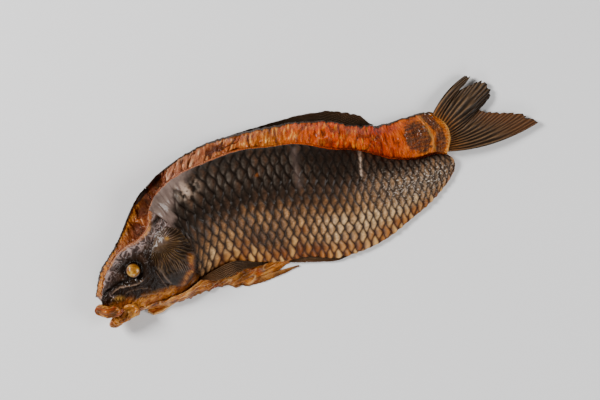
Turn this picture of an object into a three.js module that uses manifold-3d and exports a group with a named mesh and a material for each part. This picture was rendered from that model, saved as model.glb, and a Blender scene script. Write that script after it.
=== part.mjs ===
// A smoked carp, gutted, split down its back and folded shut again, lying on its right side.
// The near (left) half covers the far half, but has shrunk towards the belly, so a strip of the
// far half's flesh shows along the back, and the whole tail stalk and tail fin with it.
// Millimetres. +X runs from the mouth to the tail, +Y from the belly to the back, +Z up.
// The origin is on the surface that the fish lies on, under the middle of the far half.

import * as THREE from 'three';
import { LoftGeometry } from 'three/addons/geometries/LoftGeometry.js';
import { mergeVertices } from 'three/addons/utils/BufferGeometryUtils.js';
import Module from 'manifold-3d';

const wasm = await Module();
wasm.setup();

// ---------------------------------------------------------------- driving dimensions

const fishLength = 478; // lips to the tip of the lower tail lobe
const fishWidth = 157; // back to belly, as the folded fish lies
const fishHeight = 55; // surface to the top of the gill cover's hump
const fleshDepth = 20; // thickness of the near half at the cheek, its thickest place
const halvesGap = 1.4; // air between the two halves, and along the near half's cut edge
const pieceGap = 0.6; // air between neighbouring pieces of one half
const restGap = 0.3; // air under the thin pieces that the fish's weight doesn't press down
const gillCoverThickness = 3;
const membraneThickness = 2.6; // far gill cover, which the head lies on
const finThickness = 1.4;
const tailFinThickness = 2.4;
const eyeRadius = 7;
const eyeDepth = 4.6; // half of the eye's flattened depth
const eyeClearance = 0.5;
const lipRadius = 4.2;
const mouthHeight = 24; // height of the fish's own middle plane at the mouth
const tailRootHeight = 12; // and at the root of the tail fin

// ---------------------------------------------------------------- lines of the fish

const lerp = THREE.MathUtils.lerp;

// The lines below are drawn for a fish of this length, width and height, and stretched to size.
const drawn = { length: 478, width: 157, height: 55, flesh: 20 };
const place = ([x, y]) => new THREE.Vector2(
	x * fishLength / drawn.length,
	y * fishWidth / drawn.width,
);

// Nineteen stations run from the snout, 0, over the gill slit, 6, to the root of the tail, 18.
const gillStation = 6;
const tailStation = 18;

const lineThrough = ( points ) => {

	const spline = new THREE.SplineCurve( points.map( place ) );
	return ( station ) => spline.getPoint( station / tailStation );

};

// Back of the far half.
const backLine = lineThrough( [
	[ -236, -22 ], [ -222, 0 ], [ -206, 12 ], [ -190, 26 ], [ -178, 39 ], [ -166, 50 ], [ -150, 60 ],
	[ -130, 69 ], [ -106, 75 ], [ -78, 78.5 ], [ -48, 76 ], [ -18, 71 ], [ 12, 65 ],
	[ 40, 55 ], [ 64, 41 ], [ 88, 31 ], [ 112, 28 ], [ 130, 27 ], [ 142, 23 ],
] );

// Cut edge of the near half, where the knife went down the back.
const cutLine = lineThrough( [
	[ -228, -20 ], [ -216, -4 ], [ -202, 8 ], [ -187, 14 ], [ -174, 16 ], [ -161, 24 ], [ -153, 39 ],
	[ -138, 52 ], [ -112, 60 ], [ -80, 61.5 ], [ -50, 60 ], [ -22, 52 ], [ 7, 44 ],
	[ 34, 28 ], [ 59, 16 ], [ 85, -2 ], [ 109, -13 ], [ 128, -15 ], [ 141, -21 ],
] );

// Jaw line and belly edge of the near half.
const bellyLine = lineThrough( [
	[ -232, -35 ], [ -214, -43.5 ], [ -198, -46.5 ], [ -182, -48 ], [ -166, -49 ], [ -150, -49 ], [ -133, -44 ],
	[ -117, -40.5 ], [ -94, -40 ], [ -70, -51 ], [ -48, -58 ], [ -24, -63 ], [ 2, -75 ],
	[ 30, -77.5 ], [ 56, -75 ], [ 82, -67 ], [ 106, -59 ], [ 128, -48 ], [ 141, -38 ],
] );

// Underside of the fish, where the two halves are still joined: throat, breast and belly ridge.
const keelLine = lineThrough( [
	[ -236, -42 ], [ -222, -49 ], [ -204, -51 ], [ -186, -54 ], [ -168, -57 ], [ -152, -58 ], [ -136, -57.5 ],
	[ -117, -58.5 ], [ -97, -62 ], [ -73, -64.5 ], [ -50, -66 ], [ -24, -70 ], [ 2, -79 ],
	[ 30, -80 ], [ 56, -78 ], [ 82, -70 ], [ 106, -62 ], [ 128, -51 ], [ 141, -41 ],
] );

// A quantity given at stations 0, 3, 6 ... 18, and smooth between them.
const along = ( values, scale = 1 ) => {

	const spline = new THREE.SplineCurve( values.map( ( value, i ) => new THREE.Vector2( i, value * scale ) ) );
	return ( station ) => spline.getPoint( station / tailStation ).y;

};

const heightScale = fishHeight / drawn.height;
const fleshScale = fleshDepth / drawn.flesh;
const sectionBow = along( [ 0, 2, 13, 0, 0, 0, 4 ], fishLength / drawn.length ); // sections bulge to the tail
const tailRootBow = along( [ 0, 0, 0, 0, 0, 0, 9 ], fishLength / drawn.length );
const cutEdgeTop = along( [ 26, 36, 38, 34, 30, 12, 6 ], heightScale );
const bellyEdgeTop = along( [ 18, 14, 10, 7, 5, 4, 3.8 ], heightScale );
const flankBulge = along( [ 8, 22, 24, 23, 20, 8, 1.5 ], heightScale );
const edgeFlesh = along( [ 8, 12, 11, 9, 8, 5, 2.8 ], fleshScale );
const flankFlesh = along( [ 3, 12, 10, 8, 7, 3, 0.6 ], fleshScale );
const bellyFlesh = 0.3; // share of the edge flesh's thickness that is left at the belly edge
const backTop = along( [ 9, 9, 9, 9, 9, 10, 10 ], heightScale );
const stripInnerTop = along( [ 16, 18, 20, 21, 20, 17, 14 ], heightScale );
const stripBulge = along( [ 0, - 2, - 7, 2, 5, 11, 7 ], heightScale );
const farReach = along( [ 0.9, 0.94, 0.95, 0.9, 0.84, 0.4, 0.06 ] ); // far half's share of cut to belly

// Point of a section: share 0 at the cut edge, 1 at the belly edge.
function flankPoint( station, share ) {

	const point = cutLine( station ).lerp( bellyLine( station ), share );
	point.x += sectionBow( station ) * 4 * share * ( 1 - share );
	return point;

}

const crown = ( station, share ) =>
	lerp( cutEdgeTop( station ), bellyEdgeTop( station ), share )
	+ flankBulge( station ) * Math.sin( Math.PI * share ** 0.8 );

const flesh = ( station, share ) =>
	edgeFlesh( station ) * lerp( 1, bellyFlesh, share )
	+ flankFlesh( station ) * Math.sin( Math.PI * share );

const parting = ( station, share ) => crown( station, share ) - flesh( station, share );

// ---------------------------------------------------------------- helpers

const at = ( point, z ) => new THREE.Vector3( point.x, point.y, z );

// A block of columns from mouth to tail by rows from back to belly, bent to shape. The shape takes
// a place along, 0 at the mouth end, a place across, 0 at the back, and 0 for below or 1 for above.
function bent( columns, rows, shape ) {

	const block = new THREE.BoxGeometry( 1, 1, 1, columns, rows, 1 );
	const position = block.getAttribute( 'position' );
	for ( let i = 0; i < position.count; i ++ ) {

		const point = shape( position.getX( i ) + 0.5, 0.5 - position.getY( i ), position.getZ( i ) + 0.5 );
		position.setXYZ( i, ...point );

	}

	return block;

}

function solidOf( geometry ) {

	const bare = new THREE.BufferGeometry();
	bare.setIndex( geometry.index );
	bare.setAttribute( 'position', geometry.getAttribute( 'position' ) );
	const merged = mergeVertices( bare, 1e-4 );
	return new wasm.Manifold( new wasm.Mesh( {
		numProp: 3,
		vertProperties: merged.getAttribute( 'position' ).array,
		triVerts: new Uint32Array( merged.index.array ),
	} ) );

}

function geometryOf( solid ) {

	const mesh = solid.getMesh();
	const geometry = new THREE.BufferGeometry();
	geometry.setAttribute( 'position', new THREE.BufferAttribute( new Float32Array( mesh.vertProperties ), 3 ) );
	geometry.setIndex( new THREE.BufferAttribute( new Uint32Array( mesh.triVerts ), 1 ) );
	return geometry;

}

const cut = ( blank, tool ) => geometryOf( solidOf( blank ).subtract( solidOf( tool ) ) );

const finish = ( color, roughness ) => new THREE.MeshStandardMaterial( { color, roughness, metalness: 0 } );

const scaledSkin = finish( 0x6d5438, 0.45 );
const headSkin = finish( 0x2c1d16, 0.35 );
const curedFlesh = finish( 0xb4501a, 0.4 );
const amberSkin = finish( 0xb77433, 0.4 );
const finSkin = finish( 0x3a2818, 0.5 );
const eyeGold = finish( 0xc99a3a, 0.2 );

const fish = new THREE.Group();

function add( name, geometry, material ) {

	const mesh = new THREE.Mesh( geometry, material );
	mesh.name = name;
	fish.add( mesh );
	return mesh;

}

// ---------------------------------------------------------------- near half

const gillGap = pieceGap / 17 / 2; // half the gap between head and flank, in stations of about 17 mm
const head = { from: 0, to: gillStation - gillGap, columns: 13 };
const flank = { from: gillStation + gillGap, to: tailStation, columns: 30 };

const nearHalf = ( { from, to, columns } ) => bent( columns, 9, ( along, across, side ) => {

	const station = lerp( from, to, along );
	return at( flankPoint( station, across ), side ? crown( station, across ) : parting( station, across ) );

} );

// The eye's middle, by station and share, and its flattened ball.
const eyeStation = 2.6;
const eyeShare = 0.41;
const eyeSpot = flankPoint( eyeStation, eyeShare );
const nearEyeHeight = crown( eyeStation, eyeShare ) - 1.5;
const farEyeHeight = eyeDepth + 0.3;

function eyeball( height, growth = 0 ) {

	const ball = new THREE.SphereGeometry( 1, 16, 10 );
	ball.scale( eyeRadius + growth, eyeRadius + growth, eyeDepth + growth );
	ball.translate( eyeSpot.x, eyeSpot.y, height );
	return ball;

}

add( 'near_head', cut( nearHalf( head ), eyeball( nearEyeHeight, eyeClearance ) ), headSkin );
add( 'near_eye', eyeball( nearEyeHeight ), eyeGold );
add( 'near_side', nearHalf( flank ), scaledSkin );

// The gill cover is a bony plate over the rear of the cheek, and its rear edge laps over the flank.
const cover = { from: 3.9, to: gillStation + 0.15, topShare: 0.16, lowShare: 0.93, rounding: 0.2 };

add( 'near_gill_cover', bent( 8, 8, ( along, across, side ) => {

	const station = lerp( cover.from, cover.to, along );
	const corner = cover.rounding * ( 2 * along - 1 ) ** 2;
	const share = lerp( cover.topShare + corner, cover.lowShare - corner, across );
	const hump = 0.35 + 0.65 * Math.sin( Math.PI * across ) * Math.sin( Math.PI * lerp( 0.15, 0.85, along ) );
	return at(
		flankPoint( station, share ),
		crown( station, share ) + pieceGap + side * gillCoverThickness * hump,
	);

} ), headSkin );

// ---------------------------------------------------------------- far half

// The head end of the far half lies on its own gill cover; the flank lies flat on the surface.
const headLift = membraneThickness + pieceGap;
const underLift = ( station ) => headLift * ( 1 - THREE.MathUtils.smoothstep( station, 6.5, 7.4 ) );
const edgeLift = 3; // how far the underside turns up at the edge of the back
const leastFlesh = 0.8;
const stripRows = 7;
const coveredRows = 9;

const wallLean = 0.4; // how far the wall under the strip's inner edge leans, so that it has a face

// A point beside the near half's cut edge, on the side of the back.
function besideCut( station, distance ) {

	const cutEdge = cutLine( station );
	return cutEdge.clone().add( backLine( station ).sub( cutEdge ).setLength( distance ) );

}

// The strip that shows, from the back, share 0, to just short of the near half's cut edge, share 1.
function stripPoint( station, share ) {

	const point = backLine( station ).lerp( besideCut( station, halvesGap + wallLean ), share );
	point.x += tailRootBow( station ) * 4 * share * ( 1 - share );
	return point;

}

// Its top where the near half lies on it.
const coveredTop = ( station, share ) =>
	Math.max( parting( station, share ) - halvesGap, underLift( station ) + leastFlesh );

const farRows = stripRows + 2 + coveredRows; // a wall and its foot part the strip from the rest

const farHalf = ( { from, to, columns } ) => bent( columns, farRows, ( along, across, side ) => {

	const station = lerp( from, to, along );
	const lift = underLift( station );
	const row = Math.round( across * farRows );
	if ( row <= stripRows ) {

		const share = row / stripRows;
		const turnUp = edgeLift * Math.max( 0, 1 - 3.5 * share ) ** 2;
		const top = lerp( backTop( station ), stripInnerTop( station ), share )
			+ stripBulge( station ) * Math.sin( Math.PI * share );
		return at( stripPoint( station, share ), side ? top : lift + turnUp );

	}

	if ( row === stripRows + 1 ) {

		const foot = Math.min( stripInnerTop( station ), coveredTop( station, 0 ) );
		return at( besideCut( station, halvesGap ), side ? foot : lift );

	}

	const share = farReach( station ) * ( row - stripRows - 2 ) / coveredRows;
	return at( flankPoint( station, share ), side ? coveredTop( station, share ) : lift );

} );

add( 'far_head', cut( farHalf( head ), eyeball( farEyeHeight, eyeClearance ) ), curedFlesh );
add( 'far_eye', eyeball( farEyeHeight ), eyeGold );
add( 'far_side', farHalf( flank ), curedFlesh );

// ---------------------------------------------------------------- throat, breast and belly ridge

// The band of skin and bone along the fish's underside still joins the two halves.
const keel = { from: 2.15, to: 10, top: along( [ 14, 15, 14, 6, 4, 4, 4 ], heightScale ) };

add( 'throat_and_belly', bent( 18, 5, ( along, across, side ) => {

	const station = lerp( keel.from, keel.to, along );
	const inner = bellyLine( station );
	const outer = keelLine( station );
	inner.add( outer.clone().sub( inner ).setLength( pieceGap ) );
	const floor = restGap + headLift * ( 1 - THREE.MathUtils.smoothstep( station, 6.3, 7 ) );
	const rounded = Math.cos( Math.PI / 2 * across * 0.86 );
	return at( inner.lerp( outer, across ), side ? lerp( floor, keel.top( station ), rounded ) : floor );

} ), amberSkin );

add( 'far_gill_cover', ( () => {

	const outline = [
		[ -172, 8 ], [ -160, 18 ], [ -146, 16 ], [ -136, 2 ], [ -134, -22 ], [ -139, -42 ], [ -154, -53 ],
		[ -172, -58 ], [ -186, -61 ], [ -195, -55 ], [ -190, -44 ], [ -178, -26 ],
	].map( ( point ) => at( place( point ), 0 ) );
	const rounded = new THREE.CatmullRomCurve3( outline, true, 'centripetal' ).getPoints( 3 * outline.length );
	const plate = new THREE.Shape( rounded.slice( 1 ).map( ( point ) => new THREE.Vector2( point.x, point.y ) ) );
	return new THREE.ExtrudeGeometry( plate, { depth: membraneThickness, bevelEnabled: false } );

} )(), amberSkin );

// ---------------------------------------------------------------- fins

// A fin folded flat along a line of the body. Its root follows the line, a gap away on the given
// side (1 towards the back, -1 towards the belly), and it is as high as its list of heights says.
function foldedFin( line, { from, to, side: outward, heights, sweep = 0, floor = () => restGap } ) {

	const height = new THREE.SplineCurve( heights.map( ( value, i ) => new THREE.Vector2( i, value ) ) );
	return bent( 2 * heights.length, 2, ( along, across, above ) => {

		const station = lerp( from, to, along );
		const root = line( station );
		const ahead = line( station + 0.05 ).sub( line( station - 0.05 ) ).normalize();
		const out = new THREE.Vector2( - ahead.y, ahead.x ).multiplyScalar( outward );
		const reach = ( outward > 0 ? 1 - across : across ) * height.getPoint( along ).y;
		root.addScaledVector( out, reach + pieceGap ).addScaledVector( ahead, sweep * reach );
		return at( root, floor( station ) + above * finThickness );

	} );

}

const farBellyLine = ( station ) => flankPoint( station, farReach( station ) );
const onKeel = ( station ) => keel.top( station ) + pieceGap;
const onFarFin = () => restGap + finThickness + pieceGap;

add( 'dorsal_fin', foldedFin( backLine, {
	from: 9.6, to: 14.7, side: 1, heights: [ 1, 3, 5, 8, 11.5, 13, 9 ], sweep: 0.7,
} ), finSkin );

add( 'anal_fin', foldedFin( farBellyLine, {
	from: 14, to: 15.6, side: - 1, heights: [ 5, 17, 13, 8, 5 ], sweep: 0.8,
} ), finSkin );

add( 'near_pectoral_fin', foldedFin( bellyLine, {
	from: 6.05, to: 9.25, side: - 1, heights: [ 6, 9, 12, 14, 11, 6, 2 ], floor: onKeel,
} ), finSkin );

add( 'far_pectoral_fin', foldedFin( keelLine, {
	from: 7.7, to: 10.5, side: - 1, heights: [ 2, 5, 6, 5.5, 4, 1.5 ],
} ), amberSkin );

add( 'near_pelvic_fin', foldedFin( bellyLine, {
	from: 10.15, to: 12.4, side: - 1, heights: [ 3, 6, 6, 4, 1 ], floor: onFarFin,
} ), finSkin );

add( 'far_pelvic_fin', foldedFin( ( station ) => flankPoint( station, 0.91 ), {
	from: 11, to: 12.9, side: - 1, heights: [ 3, 8, 8, 7, 3 ],
} ), finSkin );

// The tail fin is a fan of rays. Each ray runs from the bony root of the tail to the fin's ragged
// end, and the outer rays sweep outwards. Ends are listed from the back edge to the belly edge.
const rayEnds = new THREE.SplineCurve( [
	[ 188, 46 ], [ 191, 42.5 ], [ 185, 38 ], [ 177, 34.5 ], [ 189, 35 ], [ 199, 35 ], [ 205, 27 ], [ 204, 19 ],
	[ 197, 13 ], [ 188, 9 ], [ 195, 3 ], [ 209, -3 ], [ 222, -9 ], [ 231, -17 ], [ 237, -25.5 ],
].map( place ) );
const outwardSweep = { back: 8, belly: - 13 };
const tailTipHeight = 5;

add( 'tail_fin', bent( 6, 28, ( along, across, side ) => {

	const root = stripPoint( tailStation, lerp( 0.03, 0.97, across ) );
	root.x += pieceGap;
	const end = rayEnds.getPoint( across );
	const ray = new THREE.QuadraticBezierCurve( root, root.clone().lerp( end, 0.45 ), end );
	ray.v1.y += lerp( outwardSweep.back, outwardSweep.belly, across ) * fishWidth / drawn.width;
	const middle = lerp( tailRootHeight, tailTipHeight, along );
	return at( ray.getPoint( along ), middle + ( side - 0.5 ) * lerp( tailFinThickness, finThickness, along ) );

} ), finSkin );

// ---------------------------------------------------------------- mouth

// The upper lip runs round the front of the open mouth, from its near corner to its far one. Its
// line is given in lip radii, from the corner where the cheek meets the jaw.
const mouthCorner = at( bellyLine( 0 ), mouthHeight );
const lipSteps = [
	[ 2.6, - 2.2, 2 ], [ 0.5, - 1.4, 1.5 ], [ - 1.15, 0, 0 ], [ 0, - 1.6, - 1.6 ], [ 1, - 2.1, - 2.7 ],
];

add( 'upper_lip', new THREE.ExtrudeGeometry( new THREE.Shape().absarc( 0, 0, lipRadius, 0, 2 * Math.PI ), {
	steps: 14,
	curveSegments: 5,
	bevelEnabled: false,
	extrudePath: new THREE.CatmullRomCurve3( lipSteps.map(
		( step ) => new THREE.Vector3( ...step ).multiplyScalar( lipRadius ).add( mouthCorner ),
	) ),
} ), amberSkin );

// The lower jaw is a slim trough of bone below the lips. Each section has its place along the fish,
// the drop from the lips' lowest line to its middle, and its half width and half height.
const lipsLowest = mouthCorner.y - 3.1 * lipRadius;
const jawHeight = mouthHeight - 6;
const jawSections = [
	{ x: - 233, drop: 5, halfWidth: 2, halfHeight: 3.5 },
	{ x: - 229, drop: 4.2, halfWidth: 3.8, halfHeight: 6.5 },
	{ x: - 219, drop: 2.4, halfWidth: 4.4, halfHeight: 8 },
	{ x: - 209, drop: 2.6, halfWidth: 4.2, halfHeight: 8 },
	{ x: - 200, drop: 3.7, halfWidth: 3, halfHeight: 6 },
];

function jawRing( { x, drop, halfWidth, halfHeight } ) {

	const centre = place( [ x, 0 ] ).setY( lipsLowest - drop );
	const outline = new THREE.EllipseCurve( centre.y, jawHeight, halfWidth, halfHeight ).getPoints( 12 );
	return outline.slice( 1 ).map( ( point ) => new THREE.Vector3( centre.x, point.x, point.y ) );

}

add( 'lower_jaw', new LoftGeometry( jawSections.map( jawRing ), { capStart: true, capEnd: true } ), amberSkin );

export default fish;
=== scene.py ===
import math

import bpy
import numpy as np
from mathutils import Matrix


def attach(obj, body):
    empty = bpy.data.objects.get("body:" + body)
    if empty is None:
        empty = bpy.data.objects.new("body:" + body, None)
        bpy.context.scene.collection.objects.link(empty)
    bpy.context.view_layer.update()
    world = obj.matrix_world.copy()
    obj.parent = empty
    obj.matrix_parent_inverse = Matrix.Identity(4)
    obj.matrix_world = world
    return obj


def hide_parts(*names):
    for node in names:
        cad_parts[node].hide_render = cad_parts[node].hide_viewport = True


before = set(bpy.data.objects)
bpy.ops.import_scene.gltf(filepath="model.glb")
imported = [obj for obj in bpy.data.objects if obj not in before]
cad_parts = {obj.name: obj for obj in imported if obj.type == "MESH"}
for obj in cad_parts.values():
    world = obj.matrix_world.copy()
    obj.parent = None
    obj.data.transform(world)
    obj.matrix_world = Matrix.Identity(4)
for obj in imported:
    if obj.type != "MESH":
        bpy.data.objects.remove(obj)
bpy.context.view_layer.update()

# ---------------------------------------------------------------- far side
# The right flank of a carp that was gutted, split down its back and smoked. It lies skin down, with
# cured flesh bared along the back and round the whole tail stalk. The left flank lies folded over
# the rest of it, and both halves follow the same set of lines. Lengths are in millimetres here.
MM = 0.001
# Stations run from 0 at the snout, over the gill slit, to the root of the tail.
GILL = 6
TAIL = 18


def curve_through(values):
    """A smooth curve by station through evenly spaced values, which are numbers or points."""
    knots = np.array(values, float)
    single = knots.ndim == 1
    if single:
        knots = knots[:, None]
    last = len(knots) - 1

    def at(station):
        place = np.clip(np.asarray(station, float) / TAIL, 0, 1) * last
        i = np.minimum(place.astype(int), last - 1)
        w = (place - i)[..., None]
        before, a, b, after = (knots[np.clip(i + k, 0, last)] for k in (-1, 0, 1, 2))
        start, end = (b - before) / 2, (after - a) / 2
        curve = (2 * (a - b) + start + end) * w**3 + (3 * (b - a) - 2 * start - end) * w**2
        curve += start * w + a
        return curve[..., 0] if single else curve

    return at


back_line = curve_through([
    [-236, -22], [-222, 0], [-206, 12], [-190, 26], [-178, 39], [-166, 50], [-150, 60],
    [-130, 69], [-106, 75], [-78, 78.5], [-48, 76], [-18, 71], [12, 65],
    [40, 55], [64, 41], [88, 31], [112, 28], [130, 27], [142, 23],
])
cut_line = curve_through([
    [-228, -20], [-216, -4], [-202, 8], [-187, 14], [-174, 16], [-161, 24], [-153, 39],
    [-138, 52], [-112, 60], [-80, 61.5], [-50, 60], [-22, 52], [7, 44],
    [34, 28], [59, 16], [85, -2], [109, -13], [128, -15], [141, -21],
])
belly_line = curve_through([
    [-232, -35], [-214, -43.5], [-198, -46.5], [-182, -48], [-166, -49], [-150, -49], [-133, -44],
    [-117, -40.5], [-94, -40], [-70, -51], [-48, -58], [-24, -63], [2, -75],
    [30, -77.5], [56, -75], [82, -67], [106, -59], [128, -48], [141, -38],
])
keel_line = curve_through([
    [-236, -42], [-222, -49], [-204, -51], [-186, -54], [-168, -57], [-152, -58], [-136, -57.5],
    [-117, -58.5], [-97, -62], [-73, -64.5], [-50, -66], [-24, -70], [2, -79],
    [30, -80], [56, -78], [82, -70], [106, -62], [128, -51], [141, -41],
])
section_bow = curve_through([0, 2, 13, 0, 0, 0, 4])
tail_root_bow = curve_through([0, 0, 0, 0, 0, 0, 9])
cut_edge_top = curve_through([26, 36, 38, 34, 30, 12, 6])
belly_edge_top = curve_through([18, 14, 10, 7, 5, 4, 3.8])
flank_bulge = curve_through([8, 22, 24, 23, 20, 8, 1.5])
edge_flesh = curve_through([8, 12, 11, 9, 8, 5, 2.8])
flank_flesh = curve_through([3, 12, 10, 8, 7, 3, 0.6])
back_top = curve_through([9, 9, 9, 9, 9, 10, 10])
strip_inner_top = curve_through([16, 18, 20, 21, 20, 17, 14])
strip_bulge = curve_through([0, -2, -7, 2, 5, 11, 7])
far_reach = curve_through([0.9, 0.94, 0.95, 0.9, 0.84, 0.4, 0.06])
HALVES_GAP = 1.4
HEAD_LIFT = 3.2  # the far head lies on its gill cover


def ease(value, low, high):
    t = np.clip((value - low) / (high - low), 0, 1)
    return t * t * (3 - 2 * t)


def flank_point(station, share):
    """A point of the folded flank in plan: share 0 at the cut edge, 1 at the belly edge."""
    share = np.asarray(share, float)[..., None]
    point = cut_line(station) * (1 - share) + belly_line(station) * share
    point[..., 0] += section_bow(station) * 4 * share[..., 0] * (1 - share[..., 0])
    return point


def crown(station, share):
    edges = cut_edge_top(station) * (1 - share) + belly_edge_top(station) * share
    return edges + flank_bulge(station) * np.sin(np.pi * share**0.8)


def flesh(station, share):
    return edge_flesh(station) * (1 - 0.7 * share) + flank_flesh(station) * np.sin(np.pi * share)


def parting(station, share):
    return crown(station, share) - flesh(station, share)


def beside_cut(station, distance):
    cut = cut_line(station)
    towards = back_line(station) - cut
    return cut + towards / np.linalg.norm(towards, axis=-1, keepdims=True) * distance


def strip_point(station, share):
    """A point of the bared strip in plan: share 0 at the back, 1 beside the near half."""
    share = np.asarray(share, float)[..., None]
    point = back_line(station) * (1 - share) + beside_cut(station, HALVES_GAP + 0.4) * share
    point[..., 0] += tail_root_bow(station) * 4 * share[..., 0] * (1 - share[..., 0])
    return point


def strip_top(station, share):
    edges = back_top(station) * (1 - share) + strip_inner_top(station) * share
    return edges + strip_bulge(station) * np.sin(np.pi * share)


def under_lift(station):
    return HEAD_LIFT * (1 - ease(station, 6.5, 7.4))


def noise(x, y, seed):
    """Smooth random heights from -1 to 1, about one bump per unit."""
    i, j = np.floor(x).astype(np.int64), np.floor(y).astype(np.int64)
    u, v = x - i, y - j
    u, v = u * u * (3 - 2 * u), v * v * (3 - 2 * v)

    def knot(i, j):
        h = (i * 374761393 + j * 668265263 + seed * 974634777) & 0xFFFFFFFF
        h = ((h ^ (h >> 13)) * 1274126177) & 0xFFFFFFFF
        return (h ^ (h >> 16)) / 0x7FFFFFFF - 1

    low = knot(i, j) * (1 - u) + knot(i + 1, j) * u
    high = knot(i, j + 1) * (1 - u) + knot(i + 1, j + 1) * u
    return low * (1 - v) + high * v


def rough(x, y, seed, octaves=3):
    return sum(noise(x * 2**k, y * 2**k, seed + k) / 2**k for k in range(octaves)) / 1.6


def creases(x, y, seed):
    """Sharp-edged folds: 1 on a fold's crest, 0 far from it."""
    wander = 0.9 * noise(x * 0.5, y * 0.5, seed + 7)
    return (1 - np.abs(noise(x + wander, y + wander, seed))) ** 3


def stroke(x, y, points, width):
    """1 along the line through the points, falling to 0 over about the width on each side."""
    near = np.full(np.shape(x), np.inf)
    for (ax, ay), (bx, by) in zip(points, points[1:]):
        dx, dy = bx - ax, by - ay
        t = np.clip(((x - ax) * dx + (y - ay) * dy) / (dx * dx + dy * dy), 0, 1)
        near = np.minimum(near, (x - ax - t * dx) ** 2 + (y - ay - t * dy) ** 2)
    return np.exp(-near / width**2)


def spot(x, y, centre, along, across, turn=0):
    """1 at the centre of an oval, falling to 0 over its two half widths. The turn is in degrees."""
    c, s = math.cos(math.radians(turn)), math.sin(math.radians(turn))
    dx, dy = x - centre[0], y - centre[1]
    return np.exp(-(((dx * c + dy * s) / along) ** 2) - ((dy * c - dx * s) / across) ** 2)


def even_stations(line, start, end, count):
    """Stations that part a line into equal lengths."""
    fine = np.linspace(start, end, 2000)
    steps = np.linalg.norm(np.diff(line(fine), axis=0), axis=1)
    length = np.concatenate([[0], np.cumsum(steps)])
    return np.interp(np.linspace(0, length[-1], count), length, fine)


def raised(surface, height):
    """A grid of points moved out along its own normals, upwards."""
    normal = np.cross(np.gradient(surface, axis=0), np.gradient(surface, axis=1))
    normal /= np.linalg.norm(normal, axis=-1, keepdims=True)
    normal *= np.where(normal[..., 2:] < 0, -1, 1)
    return surface + normal * height[..., None]


def across_lengths(surface):
    """Distance over the surface from the first column, in each row of a grid."""
    steps = np.linalg.norm(np.diff(surface, axis=1), axis=-1)
    return np.concatenate([np.zeros((len(surface), 1)), np.cumsum(steps, axis=1)], axis=1)


def along_lengths(surface):
    """Distance along the middle of the surface from the first row of a grid."""
    middle = surface[:, surface.shape[1] // 2]
    steps = np.linalg.norm(np.diff(middle, axis=0), axis=-1)
    return np.concatenate([[0], np.cumsum(steps)])


def plate_end(columns, width):
    """Faces that close the end of a thin plate, from its top straight down to its underside."""
    across = [[i, i + 1, 2 * width - i - 1, 2 * width - i] for i in range(width - 1)]
    return across + [[width - 1, width, width + 1], [*range(2 * width, columns), 0]]


def body_of_rings(name, panels, finishes):
    """A closed body from panels laid side by side round it. Each panel is a grid of points, with
    the finish that covers it, its masks and its two pattern coordinates. Four panels make a thin
    plate: its top, an edge, its underside and the other edge."""
    rings = np.concatenate([p["grid"] for p in panels], axis=1)
    rows, columns = rings.shape[:2]
    row, column = np.arange(rows - 1)[:, None] * columns, np.arange(columns)[None, :]
    following = (column + 1) % columns
    quads = np.stack(
        [row + column, row + following, row + columns + following, row + columns + column], -1
    ).reshape(-1, 4)
    corners = rings.reshape(-1, 3)[quads]
    centre = rings.reshape(-1, 3).mean(0)
    facing = np.cross(corners[:, 2] - corners[:, 0], corners[:, 3] - corners[:, 1])
    outward = (facing * (corners.mean(1) - centre)).sum()
    widths = [p["grid"].shape[1] for p in panels]
    end = plate_end(columns, widths[0]) if len(panels) == 4 else [list(range(columns))]
    first = [face[::-1] for face in end]
    last = [[(rows - 1) * columns + corner for corner in face] for face in end]
    caps = first + last
    if outward < 0:
        quads = quads[:, ::-1]
        caps = [face[::-1] for face in caps]
    mesh = bpy.data.meshes.new(name)
    mesh.from_pydata((rings.reshape(-1, 3) * MM).tolist(), [], quads.tolist() + caps)
    of_column = np.repeat([p["finish"] for p in panels], widths)
    of_face = np.concatenate([
        np.tile(of_column, rows - 1), [panels[0]["finish"]] * len(caps),
    ])
    mesh.polygons.foreach_set("material_index", of_face.astype(np.int32))
    mesh.polygons.foreach_set("use_smooth", np.ones(len(of_face), bool))
    for mask in sorted({m for p in panels for m in p["masks"]}):
        values = np.concatenate([
            np.broadcast_to(p["masks"].get(mask, 0.0), p["grid"].shape[:2]) for p in panels
        ], axis=1)
        mesh.attributes.new(mask, "FLOAT", "POINT").data.foreach_set(
            "value", values.ravel().astype(np.float32)
        )
    chart = np.concatenate([
        np.broadcast_to(p["chart"], p["grid"].shape[:2] + (2,)) for p in panels
    ], axis=1).reshape(-1, 2)
    corner_vertex = np.zeros(len(mesh.loops), np.int32)
    mesh.loops.foreach_get("vertex_index", corner_vertex)
    mesh.uv_layers.new(name="chart").data.foreach_set(
        "uv", chart[corner_vertex].ravel().astype(np.float32)
    )
    for finish in finishes:
        mesh.materials.append(finish)
    mesh.update()
    piece = bpy.data.objects.new(name, mesh)
    bpy.context.scene.collection.objects.link(piece)
    return piece


def panel(grid, finish, chart=(0, 0), **masks):
    return {"grid": grid, "finish": finish, "chart": chart, "masks": masks}


def grid_of(plan, height):
    return np.concatenate([plan, np.broadcast_to(height, plan.shape[:2])[..., None]], axis=-1)


def between(a, b, count):
    """Columns strictly between the last column of one panel and the first of the next."""
    t = np.linspace(0, 1, count + 2)[1:-1][None, :, None]
    return a[:, -1:] * (1 - t) + b[:, :1] * t


# Nodes are placed with these. Sockets or plain values go in, and all but the first give a socket.
def node(tree, kind, values=(), **settings):
    made = tree.nodes.new(kind)
    for setting, value in settings.items():
        setattr(made, setting, value)
    for key, value in dict(values).items():
        if isinstance(value, bpy.types.NodeSocket):
            tree.links.new(value, made.inputs[key])
        else:
            made.inputs[key].default_value = value
    return made


def maths(tree, operation, *values, clamp=False):
    made = node(tree, "ShaderNodeMath", enumerate(values), operation=operation, use_clamp=clamp)
    return made.outputs[0]


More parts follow.
